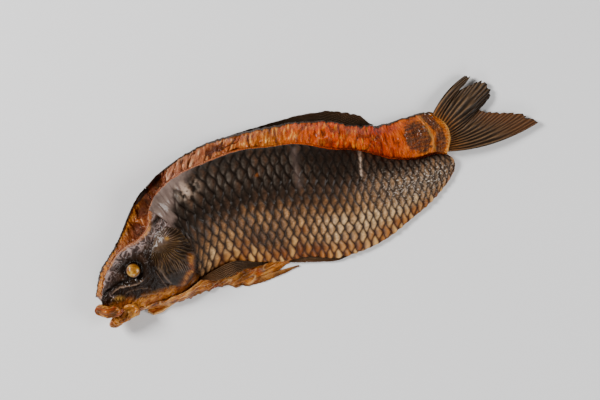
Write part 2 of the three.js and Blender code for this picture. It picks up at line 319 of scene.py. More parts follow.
def colour(red, green, blue):
    return (red, green, blue, 1)


def blend(tree, factor, a, b, how="MIX"):
    made = node(
        tree, "ShaderNodeMix", {0: factor, 6: a, 7: b}, data_type="RGBA", blend_type=how
    )
    return made.outputs[2]


def ramp(tree, factor, stops):
    made = node(tree, "ShaderNodeValToRGB", {0: factor})
    elements = made.color_ramp.elements
    while len(elements) < len(stops):
        elements.new(1)
    for element, (place, shade) in zip(elements, stops):
        element.position = place
        element.color = shade
    return made.outputs[0]


def grains(tree, where, scale, detail=3, roughness=0.55, stretch=(1, 1, 1)):
    """Fine random grain, 0 to 1, on the given coordinates."""
    place = node(tree, "ShaderNodeMapping", {0: where, 3: stretch}).outputs[0]
    made = node(
        tree, "ShaderNodeTexNoise",
        {"Vector": place, "Scale": scale, "Detail": detail, "Roughness": roughness},
    )
    return made.outputs[0]


def mask(tree, name):
    return node(tree, "ShaderNodeAttribute", attribute_name=name).outputs["Fac"]


def chart(tree):
    return node(tree, "ShaderNodeUVMap", uv_map="chart").outputs[0]


def solid_place(tree):
    return node(tree, "ShaderNodeTexCoord").outputs["Object"]


def new_finish(name, roughness, coat, coat_roughness=0.15, specular=0.5, sheen=(1, 1, 1)):
    """A material, its node tree and its Principled shader. The sheen tints what it mirrors."""
    made = bpy.data.materials.new(name)
    made.use_nodes = True
    shader = made.node_tree.nodes["Principled BSDF"]
    shader.inputs["Roughness"].default_value = roughness
    shader.inputs["Coat Weight"].default_value = coat
    shader.inputs["Coat Roughness"].default_value = coat_roughness
    shader.inputs["Specular IOR Level"].default_value = specular
    shader.inputs["Specular Tint"].default_value = colour(*sheen)
    return made, made.node_tree, shader


def bump(tree, height, distance):
    return node(tree, "ShaderNodeBump", {"Height": height, "Distance": distance}).outputs[0]


def swung(tree, value, reach):
    """A value of 0 to 1 turned into a swing about nought."""
    return maths(tree, "MULTIPLY", maths(tree, "SUBTRACT", value, 0.5), reach)


def dull_by(tree, shader, grain, least, more):
    """Roughness that rises with a grain."""
    tree.links.new(
        maths(tree, "ADD", least, maths(tree, "MULTIPLY", grain, more)), shader.inputs["Roughness"]
    )


def cured_flesh_finish():
    """Oily smoked flesh. Its colour goes from amber and salmon at the nape to deep orange at the
    tail stalk, with streaks across the grain whose pale parts are partly painted highlight, dark
    hollows deepened with painted shade, painted shade in its folds and low places, and charred
    patches."""
    made, tree, shader = new_finish("cured_flesh", 0.3, 0.16, 0.06, 0.4, (1, 0.45, 0.12))
    where = chart(tree)
    patches = grains(tree, where, 1.1, 4, 0.62)
    streaks = grains(tree, where, 1.2, 5, 0.6, stretch=(3.2, 0.9, 1))
    fine = grains(tree, where, 5.0, 4, stretch=(2.5, 1, 1))
    along = maths(tree, "ADD", mask(tree, "along"), swung(tree, patches, 0.12))
    base = ramp(tree, along, [
        (0.00, colour(0.234, 0.069, 0.0100)), (0.20, colour(0.290, 0.076, 0.0090)),
        (0.34, colour(0.300, 0.078, 0.0200)), (0.44, colour(0.470, 0.190, 0.100)),
        (0.52, colour(0.420, 0.125, 0.038)), (0.585, colour(0.480, 0.110, 0.0100)),
        (0.62, colour(0.560, 0.160, 0.0140)), (0.66, colour(0.600, 0.092, 0.0060)),
        (0.74, colour(0.560, 0.045, 0.0010)), (0.775, colour(0.680, 0.095, 0.0030)),
        (0.82, colour(0.480, 0.028, 0.0008)), (0.87, colour(0.590, 0.078, 0.0020)),
        (0.92, colour(0.590, 0.125, 0.0040)), (1.00, colour(0.410, 0.100, 0.0070)),
    ])
    pale = ramp(tree, along, [
        (0.00, colour(0.600, 0.270, 0.060)), (0.42, colour(0.920, 0.580, 0.370)),
        (0.53, colour(0.900, 0.450, 0.140)), (0.62, colour(0.950, 0.500, 0.090)),
        (0.70, colour(0.950, 0.300, 0.025)), (0.78, colour(0.980, 0.430, 0.035)),
        (0.84, colour(0.760, 0.140, 0.0080)), (1.00, colour(0.800, 0.300, 0.030)),
    ])
    # The paler streaks are partly the flesh's own pale bands and partly painted highlight.
    light = maths(tree, "MULTIPLY", ramp(tree, streaks, [
        (0.53, colour(0, 0, 0)), (0.65, colour(1, 1, 1)),
    ]), 0.9)
    skin = blend(tree, light, base, pale)
    mixed = maths(tree, "MULTIPLY", maths(tree, "ADD", streaks, patches), 0.5)
    deep = ramp(tree, mixed, [(0.38, colour(1, 1, 1)), (0.48, colour(0, 0, 0))])
    skin = blend(tree, maths(tree, "MULTIPLY", deep, 0.85), skin, colour(0.130, 0.0165, 0.0012))
    # Painted shade: the flesh darkens where its crest mask is low, in hollows and between ribs.
    low_relief_shade = maths(tree, "SUBTRACT", 1.0, mask(tree, "crest"))
    skin = blend(tree, maths(tree, "MULTIPLY", low_relief_shade, 0.85), skin, blend(
        tree, 0.9, skin, colour(0.42, 0.16, 0.06), "MULTIPLY",
    ))
    # Painted shade deepens the dark red membrane in the hollows of the open head.
    skin = blend(tree, mask(tree, "hollow"), skin, ramp(tree, patches, [
        (0.38, colour(0.012, 0.0040, 0.0030)), (0.62, colour(0.120, 0.034, 0.0210)),
    ]))
    skin = blend(tree, mask(tree, "amber"), skin, ramp(tree, streaks, [
        (0.38, colour(0.160, 0.032, 0.0028)), (0.62, colour(0.640, 0.240, 0.034)),
    ]))
    skin = blend(tree, mask(tree, "char"), skin, ramp(tree, fine, [
        (0.38, colour(0.017, 0.0048, 0.0030)), (0.62, colour(0.092, 0.032, 0.0190)),
    ]))
    # Painted shade in the grooves of the folds.
    skin = blend(tree, mask(tree, "fold"), skin, colour(0.070, 0.0120, 0.0030))
    skin = blend(tree, mask(tree, "tendon"), skin, colour(0.50, 0.25, 0.06))
    skin = blend(tree, mask(tree, "rind"), skin, colour(0.027, 0.0101, 0.0047))
    tree.links.new(skin, shader.inputs["Base Color"])
    dull_by(tree, shader, fine, 0.10, 0.3)
    relief = maths(tree, "ADD", mixed, maths(tree, "MULTIPLY", fine, 0.5))
    tree.links.new(bump(tree, relief, 0.0030), shader.inputs["Normal"])
    return made


SCALE_SWING = 0.05  # how far a scale's free edge bows, in scales
LEAF_ALONG = (1.7, 1.1)  # power and weight of the leaf's outline along the fish
LEAF_ACROSS = (1.5, 1.3)  # and across it


def scale_cells(u, v):
    """Place within the nearest scale of a staggered pattern, -0.5 to 0.5 along the fish and across.
    Whole numbers of u and v, and halves of both, are the middles of scales."""
    u = u - SCALE_SWING * np.cos(4 * np.pi * v)
    p, q = np.round(u + v), np.round(u - v)
    return u - (p + q) / 2, v - (p - q) / 2


def scale_relief(u, v):
    """Height of the scales, 0 to 1: a rounded leaf each, tilted up to its free edge."""
    along, across = scale_cells(u, v)
    within = LEAF_ALONG[1] * np.abs(2 * along) ** LEAF_ALONG[0]
    within = within + LEAF_ACROSS[1] * np.abs(2 * across) ** LEAF_ACROSS[0]
    return np.clip(1 - within / 0.92, 0, 1) ** 0.65 * (0.75 + 0.8 * along)


def scale_lattice_group():
    """The same scales as a node group, for crisp outlines: in goes the chart, out come how far a
    place is from the middle of its scale, its way towards the free edge, and a random value."""
    made = bpy.data.node_groups.new("scale lattice", "ShaderNodeTree")
    made.interface.new_socket("Chart", in_out="INPUT", socket_type="NodeSocketVector")
    for name in ("Within", "Way", "Random"):
        made.interface.new_socket(name, in_out="OUTPUT", socket_type="NodeSocketFloat")
    inside = made.nodes.new("NodeGroupInput").outputs[0]
    out = made.nodes.new("NodeGroupOutput")
    parts = node(made, "ShaderNodeSeparateXYZ", {0: inside})
    v = parts.outputs[1]
    swing = maths(made, "COSINE", maths(made, "MULTIPLY", v, 4 * math.pi))
    u = maths(made, "SUBTRACT", parts.outputs[0], maths(made, "MULTIPLY", swing, SCALE_SWING))
    p = maths(made, "ROUND", maths(made, "ADD", u, v))
    q = maths(made, "ROUND", maths(made, "SUBTRACT", u, v))
    along = maths(made, "SUBTRACT", u, maths(made, "MULTIPLY", maths(made, "ADD", p, q), 0.5))
    across = maths(made, "SUBTRACT", v, maths(
        made, "MULTIPLY", maths(made, "SUBTRACT", p, q), 0.5,
    ))

    def bent(value, power, weight):
        doubled = maths(made, "ABSOLUTE", maths(made, "MULTIPLY", value, 2.0))
        return maths(made, "MULTIPLY", maths(made, "POWER", doubled, power), weight)

    within = maths(made, "ADD", bent(along, *LEAF_ALONG), bent(across, *LEAF_ACROSS))
    both = node(made, "ShaderNodeCombineXYZ", {0: p, 1: q})
    chance = node(made, "ShaderNodeTexWhiteNoise", {"Vector": both.outputs[0]})
    made.links.new(within, out.inputs["Within"])
    made.links.new(maths(made, "ADD", along, 0.5), out.inputs["Way"])
    made.links.new(chance.outputs["Value"], out.inputs["Random"])
    return made


scale_lattice = scale_lattice_group()


def scaled_skin_finish():
    """Smoked scaly skin: charred brown on the back, tan and gold on the belly, frosted with salt
    towards the tail, and grey and bare at the nape. Dark gaps, partly painted shade, part the
    scales, and a painted highlight lies along the middle of each."""
    made, tree, shader = new_finish("scaled_skin", 0.42, 0.12, 0.12, 0.2, (1, 0.8, 0.62))
    where = chart(tree)
    lattice = node(tree, "ShaderNodeGroup", node_tree=scale_lattice)
    tree.links.new(where, lattice.inputs["Chart"])
    within, way, chance = (lattice.outputs[k] for k in ("Within", "Way", "Random"))
    place = solid_place(tree)
    broad = grains(tree, place, 28, 4)
    grit = grains(tree, place, 420, 3)
    specks = grains(tree, place, 560, 3)
    bare, frost, gold, tan = (mask(tree, k) for k in ("bare", "frost", "gold", "tan"))
    mottled = maths(tree, "ADD", tan, swung(tree, broad, 0.6))
    mottled = maths(tree, "ADD", mottled, swung(tree, chance, 0.22))
    middle = ramp(tree, mottled, [
        (0.02, colour(0.0115, 0.0058, 0.0036)), (0.28, colour(0.046, 0.0225, 0.0125)),
        (0.52, colour(0.140, 0.066, 0.0270)), (0.76, colour(0.350, 0.182, 0.075)),
        (0.98, colour(0.580, 0.370, 0.185)),
    ])
    middle = blend(tree, 1.0, middle, ramp(tree, grit, [
        (0.32, colour(0.55, 0.52, 0.50)), (0.50, colour(0.95, 0.95, 0.95)),
        (0.68, colour(1.45, 1.48, 1.50)),
    ]), "MULTIPLY")
    golden = ramp(tree, maths(tree, "ADD", maths(tree, "MULTIPLY", chance, 0.6), broad), [
        (0.45, colour(0.150, 0.036, 0.0048)), (0.75, colour(0.320, 0.118, 0.0230)),
        (1.00, colour(0.560, 0.300, 0.100)),
    ])
    middle = blend(tree, gold, middle, golden)
    grey = ramp(tree, grit, [
        (0.35, colour(0.040, 0.027, 0.019)), (0.65, colour(0.240, 0.178, 0.126)),
    ])
    middle = blend(tree, maths(tree, "MULTIPLY", frost, 0.8), middle, grey)
    # Painted highlight: a cream glint along the middle of each scale, strongest towards its free
    # edge.
    ridge = ramp(tree, within, [(0.0, colour(1, 1, 1)), (0.42, colour(0, 0, 0))])
    facing = ramp(tree, way, [(0.35, colour(0.2, 0.2, 0.2)), (0.60, colour(1, 1, 1))])
    lit_ridge = maths(tree, "MULTIPLY", ridge, maths(tree, "MULTIPLY", grit, 1.6))
    lit_ridge = maths(tree, "MULTIPLY", lit_ridge, facing)
    middle = blend(tree, lit_ridge, middle, colour(0.75, 0.62, 0.46), "SOFT_LIGHT")
    # The dark gaps are partly the skin's own dark joints and partly painted shade under the free
    # edges; the rim of each scale is dimmed with painted shade too.
    gap = blend(tree, tan, colour(0.0030, 0.0015, 0.0009), colour(0.026, 0.0115, 0.0055))
    gap = blend(tree, gold, gap, colour(0.044, 0.0088, 0.0014))
    ragged = maths(tree, "ADD", within, swung(tree, grit, 0.22))
    open_gap = ramp(tree, ragged, [
        (0.36, colour(1, 1, 1)), (0.64, colour(0.440, 0.410, 0.380)), (0.84, colour(0, 0, 0)),
    ])
    # Painted shade where each scale comes out from under the free edge of the one before it.
    emerge = ramp(tree, way, [(0.12, colour(0.250, 0.233, 0.216)), (0.55, colour(1, 1, 1))])
    lit = maths(tree, "MULTIPLY", open_gap, emerge)
    lit = maths(tree, "MAXIMUM", lit, maths(tree, "MULTIPLY", frost, 0.12))
    scales = blend(tree, lit, gap, middle)
    hide = ramp(tree, broad, [
        (0.35, colour(0.060, 0.039, 0.033)), (0.65, colour(0.216, 0.149, 0.126)),
    ])
    hide = blend(tree, maths(tree, "MULTIPLY", grit, 0.8), hide, colour(0.120, 0.078, 0.062))
    base = blend(tree, bare, scales, hide)
    # Painted highlight on the cream patches of the bare nape; the split in the skin is pale in its
    # own right.
    base = blend(tree, mask(tree, "cream"), base, colour(0.396, 0.276, 0.199))
    base = blend(tree, mask(tree, "ember"), base, colour(0.300, 0.075, 0.0080))
    # Painted shadow along the gill cover's rear edge and painted shade on the far head's hollow
    # edge; this mask also darkens the far head's underside in a mottle.
    base = blend(tree, mask(tree, "shade"), base, colour(0.0048, 0.0025, 0.0018))
    salt = ramp(tree, specks, [(0.57, colour(0, 0, 0)), (0.64, colour(1, 1, 1))])
    base = blend(
        tree, maths(tree, "MULTIPLY", maths(tree, "MULTIPLY", salt, frost), 0.8),
        base, colour(0.520, 0.440, 0.370),
    )
    tree.links.new(base, shader.inputs["Base Color"])
    dull_by(tree, shader, grit, 0.30, 0.35)
    pillow = maths(tree, "MULTIPLY", lit, maths(tree, "SUBTRACT", 1.0, bare))
    relief = maths(tree, "ADD", pillow, maths(tree, "MULTIPLY", grit, 0.6))
    tree.links.new(bump(tree, relief, 0.0006), shader.inputs["Normal"])
    return made


flesh_finish = cured_flesh_finish()
scaled_finish = scaled_skin_finish()


TAIL_TEETH = 95  # radians of the comb where flesh meets the tail's rays
RIB_PITCH = 3.1


def strip_masks(station, share, x, y):
    """Where the bared flesh is hollow, amber, charred or covered by the edge of the skin."""
    hollow = np.maximum.reduce([
        1.5 * spot(x, y, (-157.5, 47), 15, 6.5, 50), 1.4 * spot(x, y, (-173.5, 25), 8.5, 6.5, 58),
        spot(x, y, (-140, 59.5), 13, 3.5, 32), 0.9 * spot(x, y, (-184, 15.5), 9, 3, 38),
    ]) * (0.85 + 0.5 * rough(x / 5, y / 5, 12))
    hollow = np.clip(hollow - 0.8 * stroke(x, y, [(-176, 38), (-170, 33.5), (-161, 28)], 2.2), 0, 1)
    ragged = rough(x / 3.5, y / 1.8, 5)
    amber = ease(1 - share, 0.62, 0.85) * (1 - ease(station, 4.6, 6.2)) + ease(2.3 - station, 0, 1)
    oval = spot(x, y, (119.5, 6.5), 12.8, 17, 12)
    oval = ease(oval + 0.16 * ragged, 0.28, 0.46)
    band = stroke(x, y, [(134.5, 24), (138.5, 14), (141, 3), (140, -8), (135.5, -14)], 4.8)
    band = ease(band + 0.35 * ragged, 0.30, 0.6)
    teeth = ease(station + 0.10 * np.sin(share * TAIL_TEETH), 17.74, 17.88)
    fibres = 0.92 + 0.35 * noise(x / 6, y / 0.9, 6)
    char = np.clip(oval + band, 0, 1) * (1 - 0.85 * teeth) * fibres
    fold = creases(station * 4.2 + share, share * 1.4, 25)
    fold = ease(fold, 0.36, 0.76) * (0.55 + 0.45 * (1 - ease(station, 9.5, 12)))
    fold *= (1 - ease(station, 14.8, 15.8)) * ease(station, 4.5, 6) * ease(share, 0.05, 0.2)
    width = np.linalg.norm(back_line(station) - cut_line(station), axis=-1)
    from_back = share * width + 0.9 * ragged
    rind = 1 - ease(from_back, 0.9, 2.0)
    sinew = stroke(x, y, [(129, 25), (131.5, 12), (132.5, 0), (130.5, -12)], 1.3)
    tendon = np.maximum(teeth, 0.8 * sinew)
    return {
        "hollow": hollow, "amber": np.clip(amber, 0, 1), "char": np.clip(char, 0, 1),
        "rind": rind, "tendon": tendon * (0.7 + 0.5 * ragged), "fold": fold,
    }


def strip_relief(station, share, x, y, run, masks):
    """Ribs across the flesh, lumps, and the hollows of the open head."""
    ribs = np.sin((run + 2.5 * noise(x / 9, y / 9, 3)) * 2 * np.pi / RIB_PITCH)
    ribs *= 0.22 + 0.25 * np.exp(-(((station - 15) / 0.9) ** 2))
    lumps = 1.3 * rough(x / 9, y / 9, 11) + 1.5 * rough(run / 2.8 + share, share * 2.2, 21)
    rays = np.sin(share * TAIL_TEETH) * ease(station, 17.2, 17.8) * 0.6
    ridge = stroke(x, y, [(128, 25), (131, 10), (131.5, -4), (128, -13)], 2.0)
    return (
        ribs + lumps * 1.05 + rays + 1.1 * ridge - 5.0 * masks["hollow"]
        - 1.4 * masks["fold"] - 0.5 * masks["char"] + 0.5 * masks["rind"]
    )


scale_length = curve_through([9, 9, 9.2, 9.2, 8.8, 7.6, 5.6])  # between rows, towards the tail
scale_height = curve_through([24, 24, 24, 24, 22, 19.5, 15])  # of a whole scale, across
SCALE_LEAN = 0.55  # how far the columns lean back towards the belly, in scales


def skin_chart(surface, stations, middle):
    """Pattern coordinates of a scaly surface: whole numbers of scales along and across, counted
    across from the given column."""
    length = along_lengths(surface)
    pitch = scale_length(stations)[1:]
    u = np.concatenate([[0], np.cumsum(np.diff(length) / pitch)])
    over = across_lengths(surface)
    over = over - over[:, middle:middle + 1]
    v = over / scale_height(stations)[:, None]
    u = u[:, None] + SCALE_LEAN * v
    uneven_u, uneven_v = (0.11 * noise(u / 1.7, v * 1.9, seed) for seed in (15, 16))
    return np.stack([u + uneven_u, v + uneven_v / 2], axis=-1)


def far_half_panels(stations, scaliness):
    s = stations[:, None]
    share = np.linspace(0, 1, 54)[None, :]
    plan = strip_point(s + 0 * share, share + 0 * s)
    x, y = plan[..., 0], plan[..., 1]
    strip = grid_of(plan, strip_top(s, share))
    masks = strip_masks(s, share, x, y)
    run = along_lengths(strip)[:, None]
    width = np.linalg.norm(back_line(s) - cut_line(s), axis=-1)
    chart_of_strip = np.stack([(run + 5 * share) / 10, share * width / 10], -1)
    relief = strip_relief(s, share, x, y, run, masks)
    # Painted shade: where the relief is low, the crest mask is low and the flesh is darker.
    masks["crest"] = np.clip(0.62 + 0.38 * relief, 0, 1)
    strip = raised(strip, relief)
    lowest = under_lift(s) + 3 * np.clip(1 - 3.5 * share, 0, 1) ** 2 + 1.2
    strip[..., 2] = np.maximum(strip[..., 2], lowest)
    foot = grid_of(
        beside_cut(s, HALVES_GAP), np.minimum(strip_inner_top(s), parting(s, 0) - HALVES_GAP)
    )
    reach = far_reach(s) * np.linspace(0, 1, 14)[None, :]
    covered = grid_of(flank_point(s + 0 * reach, reach), np.maximum(
        parting(s, reach) - HALVES_GAP, under_lift(s) + 0.8,
    ))
    below = np.linspace(0, 1, 76)[None, :]
    belly = flank_point(s, far_reach(s))
    back = back_line(s)
    blend_plan = belly * (1 - below[..., None]) + back * below[..., None]
    under = grid_of(blend_plan, under_lift(s) + 3 * ease(below, 0.93, 1.0) ** 2)
    chart_of_under = skin_chart(under, stations, 38)
    scaly = scale_relief(chart_of_under[..., 0], chart_of_under[..., 1])
    under[..., 2] += 0.1 + 0.35 * scaly * ease(below, 0, 0.05) * scaliness
    edge = between(under, strip, 5)
    round_out = np.sin(np.linspace(0, np.pi, 7)[1:-1])[None, :]
    edge[..., 1] += 1.1 * round_out
    edge[..., 0] -= 0.4 * round_out
    below_mask = 0.35 + 0.4 * (1 - below) + 0 * s
    mottle = rough(under[..., 0] / 15, under[..., 1] / 15, 17)
    darker_underside = (1 - scaliness) * np.clip(0.45 + 0.6 * mottle, 0, 1)
    # On the far head, the shade mask paints shade on the edge that shows in the deep hollow, and
    # darkens the underside in a mottle.
    return [
        panel(strip, 0, chart_of_strip, along=s / TAIL + 0 * share, **masks),
        panel(foot, 0, np.stack([run / 10, 0.1 + 0 * run], -1), along=s / TAIL),
        panel(covered, 0, np.stack([run / 10 + 0 * reach, 6 * reach], -1),
              along=s / TAIL + 0 * reach, crest=0.7),
        panel(between(covered, under, 2), 1, (0, 0), tan=0.4, bare=1 - scaliness),
        panel(under, 1, chart_of_under, tan=below_mask, bare=1 - scaliness, shade=darker_underside,
              gold=scaliness * ease(0.25 - below, 0, 0.2) + 0 * s),
        panel(edge, 1, (0, 0), tan=0.15, shade=0.8 * (1 - scaliness)),
    ]


far_side = body_of_rings(
    "far_side_flesh",
    far_half_panels(even_stations(lambda s: strip_point(s, 0.5), GILL + 0.02, TAIL, 420), 1.0),
    [flesh_finish, scaled_finish],
)
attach(far_side, "root")
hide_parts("far_side")

# ---------------------------------------------------------------- far head
# The right half of the head, split through the skull and pressed flat. Its cut side is open along
# the back: hollows of the skull in dark red membrane, deepened with painted shade, a septum of
# gristle and an amber rim.
far_head = body_of_rings(
    "far_head_bone",
    far_half_panels(even_stations(lambda s: strip_point(s, 0.5), 0, GILL - 0.02, 230), 0.0),
    [flesh_finish, scaled_finish],
)
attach(far_head, "root")
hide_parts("far_head")

# ---------------------------------------------------------------- near side
# The left flank, folded over on top: scaly skin over a slab of cured flesh. It dried and shrank
# towards the belly, so its cut edge runs well inside the back, and its tail end is loose and thin.
rim_width = curve_through([1.1, 1.5, 1.7, 1.0, 0.6, 0.5, 0.5])
WALL_ROWS = 9  # rows of points down the cut wall
SCAR = [(1, 39), (-3, 25), (-7, 6)]


def near_half_panels(stations, relief_of, masks_of, columns):
    """Skin on top, flesh at the cut edge and below, and a thin rounded edge at the belly."""
    s = stations[:, None]
    span = np.linalg.norm(cut_line(s) - belly_line(s), axis=-1)
    rim = rim_width(s) * (1 + 0.3 * noise(s * 4, 0 * s, 8)) / span
    share = rim + (1 - rim) * np.linspace(0, 1, columns)[None, :]
    skin = grid_of(flank_point(s + 0 * share, share), crown(s, share))
    coordinates = skin_chart(skin, stations, columns * 2 // 5)
    x, y = skin[..., 0], skin[..., 1]
    scallop = 0.5 - 0.5 * np.cos(2 * np.pi * coordinates[..., 0])
    skin_top = raised(skin, relief_of(s, share, x, y, coordinates))
    skin_top[..., 1] -= 0.8 * scallop * ease(share, 0.965, 1)
    below = np.linspace(1, 0, 22)[None, :]
    thin = 1 - 0.65 * ease(s, 17, TAIL)
    bottom = grid_of(
        flank_point(s + 0 * below, below), crown(s, below) - flesh(s, below) * thin
    )
    lip = between(skin_top, bottom, 2)
    lip[..., 1] -= 0.35
    edge_top = grid_of(
        cut_line(s), crown(s, 0) - 0.9 - 0.5 * rim_width(s) - 0.3 * noise(s * 9, 0 * s, 4)
    )
    wall = np.concatenate([between(bottom, edge_top, WALL_ROWS), edge_top], axis=1)
    run = along_lengths(skin)[:, None]
    level = wall[..., 2]
    layers = creases(run / 16, level / 2.6, 45)
    carved = 0.9 * layers + 0.5 * rough(run / 3, level / 2, 46) + 0.5
    carved = np.clip(carved, 0, 1.6) * ease(np.linspace(0, 1, wall.shape[1]), 0, 0.2)
    outward = back_line(s) - cut_line(s)
    outward = outward / np.linalg.norm(outward, axis=-1, keepdims=True)
    wall[..., :2] -= outward * carved[..., None]
    bevel = between(wall, skin_top, 2)
    bevel[..., 2] += 0.3
    pale = ease(10 - s, 0, 3)
    tone = 0.30 + 0.5 * s / TAIL
    return [
        panel(skin_top, 0, coordinates, **masks_of(s, share, x, y)),
        panel(lip, 0, (0, 0), tan=0.8, gold=0.9),
        panel(bottom, 1, np.stack([run / 12 + 0 * below, 6 * below + 0 * run], -1), along=tone,
              crest=0.6 + 0.3 * rough(run / 12, below * 5, 47)),
        # A low crest darkens the flesh: painted shade in the carved layers of the cut wall, and the
        # wall and bevel also darker towards the tail.
        panel(wall, 1, np.stack([level / 13, run / 16 + 0 * level], -1), along=tone,
              crest=np.clip(1.1 - 0.8 * carved, 0, 1) * (0.6 + 0.4 * pale)),
        panel(bevel, 1, np.stack([bevel[..., 2] / 6, run / 9 + 0 * bevel[..., 2]], -1),
              along=tone, crest=0.4 + 0.6 * pale),
    ]


def bare_nape(s, share):
    """The nape has lost its scales: 1 on bare hide, 0 on scales."""
    edge = 0.34 - 0.13 * (s - GILL) + 0.10 * rough(s * 4, share * 9, 31)
    return ease(edge - share, -0.06, 0.07) * ease(8.6 - s, 0, 0.6)


def near_side_relief(s, share, x, y, coordinates):
    bare = bare_nape(s, share)
    worn = 0.55 + 0.45 * ease(share, 0.1, 0.5)
    scales = 1.35 * scale_relief(coordinates[..., 0], coordinates[..., 1]) * worn
    folds = 1.3 * creases(x / 3.6 + 0.35 * y / 3.6, y / 15, 41)
    swell = 0.9 * rough(x / 30, y / 30, 51, 2)
    scar = stroke(x, y, SCAR, 2.6) * 0.7
    split = stroke(x, y, [(60, 13.5), (55, 2), (50, -13)], 0.9)
    frayed = 0.4 * rough(x / 2.2, y / 2.2, 61) * ease(s, 13.5, 16)
    return scales * (1 - bare) + folds * bare + swell + scar - 1.3 * split + frayed


def near_side_masks(s, share, x, y):
    reach = curve_through([0.7, 0.7, 0.66, 0.56, 0.50, 0.33, 0.2])(s)
    blotch = 0.05 * rough(x / 14, y / 14, 71)
    tan = 0.04 + 0.52 * ease(share + blotch, reach - 0.22, reach + 0.10)
    tan += 0.36 * ease(share, 0.50, 0.72) * spot(s, share, (13.6, 0.72), 2.5, 0.28)
    tan += 0.26 * spot(s, share, (7.4, 0.88), 0.8, 0.16)
    tan -= 0.16 * spot(s, share, (9.6, 0.78), 1.2, 0.2)
    tan += 0.12 * ease(share, 0.6, 0.9) * ease(10.5 - s, 0, 3)
    gold = ease(share + blotch, 0.80, 0.97) * ease(s, 6.4, 7.6) * (1 - 0.5 * ease(s, 15, 17))
    gold = np.maximum(gold, ease(share, 0.965, 0.985))
    gold = np.maximum(gold, 0.9 * spot(x, y, (-20, -34.5), 4, 5))
    gold = np.maximum(gold, 0.8 * spot(x, y, (-31, -46), 7, 5))
    gold = np.maximum(gold, 0.5 * spot(x, y, (-84, -30), 14, 9))
    frost = spot(s, share, (15.4, 0.50), 1.35, 0.24) + 0.8 * spot(s, share, (16.9, 0.62), 0.9, 0.3)
    frost = np.clip(frost + 0.5 * blotch, 0, 1)
    split = stroke(x + noise(x, y / 2, 33), y, [(60, 14), (57, 5), (53, -8)], 1.2)
    split *= 0.75 + 0.4 * noise(x / 2, y / 2, 34)
    scar = stroke(x, y, SCAR, 3.2)
    flakes = ease(rough(x / 3, y / 3.4, 35), -0.15, 0.45)
    # Painted highlight: cream patches on the bare hide of the nape. The split in the skin is pale.
    cream = 0.9 * spot(x, y, (-113, 42), 6, 9, 20) + 0.4 * spot(x, y, (-99, 44), 4, 7)
    cream = np.clip(cream * flakes + 0.9 * split, 0, 1)
    ember = 0.8 * spot(x, y, (-42, 30), 2.0, 1.5, 30) * (0.6 + 0.6 * noise(x, y, 36))
    # Painted shadow along the rear edge of the gill cover, where it laps over the flank.
    shade = 0.8 * stroke(x, y, [(-133, 8), (-128, -8), (-128, -24), (-134, -40)], 3.0)
    shade = np.maximum(shade, 0.6 * spot(x, y, (-128, 14), 9, 5, 30))
    return {
        "tan": np.clip(tan, 0, 1), "gold": np.clip(gold, 0, 1), "frost": frost,
        "bare": np.clip(bare_nape(s, share) + 0.45 * scar, 0, 1), "cream": cream,
        "ember": np.clip(ember, 0, 1), "shade": np.clip(shade, 0, 1),
    }


near_side = body_of_rings(
    "near_side_skin",
    near_half_panels(
        even_stations(lambda s: flank_point(s, 0.5), GILL + 0.02, TAIL, 430),
        near_side_relief, near_side_masks, 190,
    ),
    [scaled_finish, flesh_finish],
)
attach(near_side, "root")
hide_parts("near_side")

# ---------------------------------------------------------------- near head
# The left half of the head: bone under tight smoked skin. It is black and wrinkled round the eye,
# grey along the split skull, and amber towards the mouth. A ridge runs below the eye with a
# painted highlight along it, and painted shade darkens the eye socket, the grooves and the skin
# by the gill cover's edges.
EYE = (-187.8, -10.8)
BROW = [(-205, -1.5), (-200.6, 4.1), (-191.7, 7.8), (-181.6, 6.9), (-174.4, -1.3)]
HIGHLIT_RIDGE = [(-217, -24.5), (-213, -22.6), (-206.9, -21.8), (-197.1, -23.7), (-188.8, -24.9),
               (-183.1, -23.2)]
SNOUT_GROOVE = [(-230, -22.5), (-221, -20.3), (-213.6, -19.4), (-203.7, -19.6)]
CHEEK_FOLDS = [
    [(-203.8, -28.3), (-195.8, -28.4), (-187, -30.2), (-180.1, -33.7)],
    [(-201.5, -39.8), (-193.3, -37.2), (-184.6, -37.1), (-177, -39.5)],
    [(-195, -44.5), (-187.7, -41.6), (-180.3, -42)],
    [(-167.4, -20), (-166.2, -32.1), (-164, -43.3)],
    [(-163.4, -18), (-162, -28), (-160.5, -34)],
]
NAPE_GROOVE = [(-157, 24), (-148, 27), (-139, 27)]
GILL_SHADOW = [(-133, 9), (-127, -8), (-128, -24), (-133, -38)]


def strokes(x, y, lines, width):
    return np.maximum.reduce([stroke(x, y, line, width) for line in lines])


def skull_band(x, y):
    """The grey ridge of the split skull, from the snout to the nape."""
    ridge = [(-222, -8), (-210.9, 6), (-197, 15), (-182, 17.5), (-170, 21), (-160, 30), (-150, 42)]
    return stroke(x, y, ridge, 8.5)


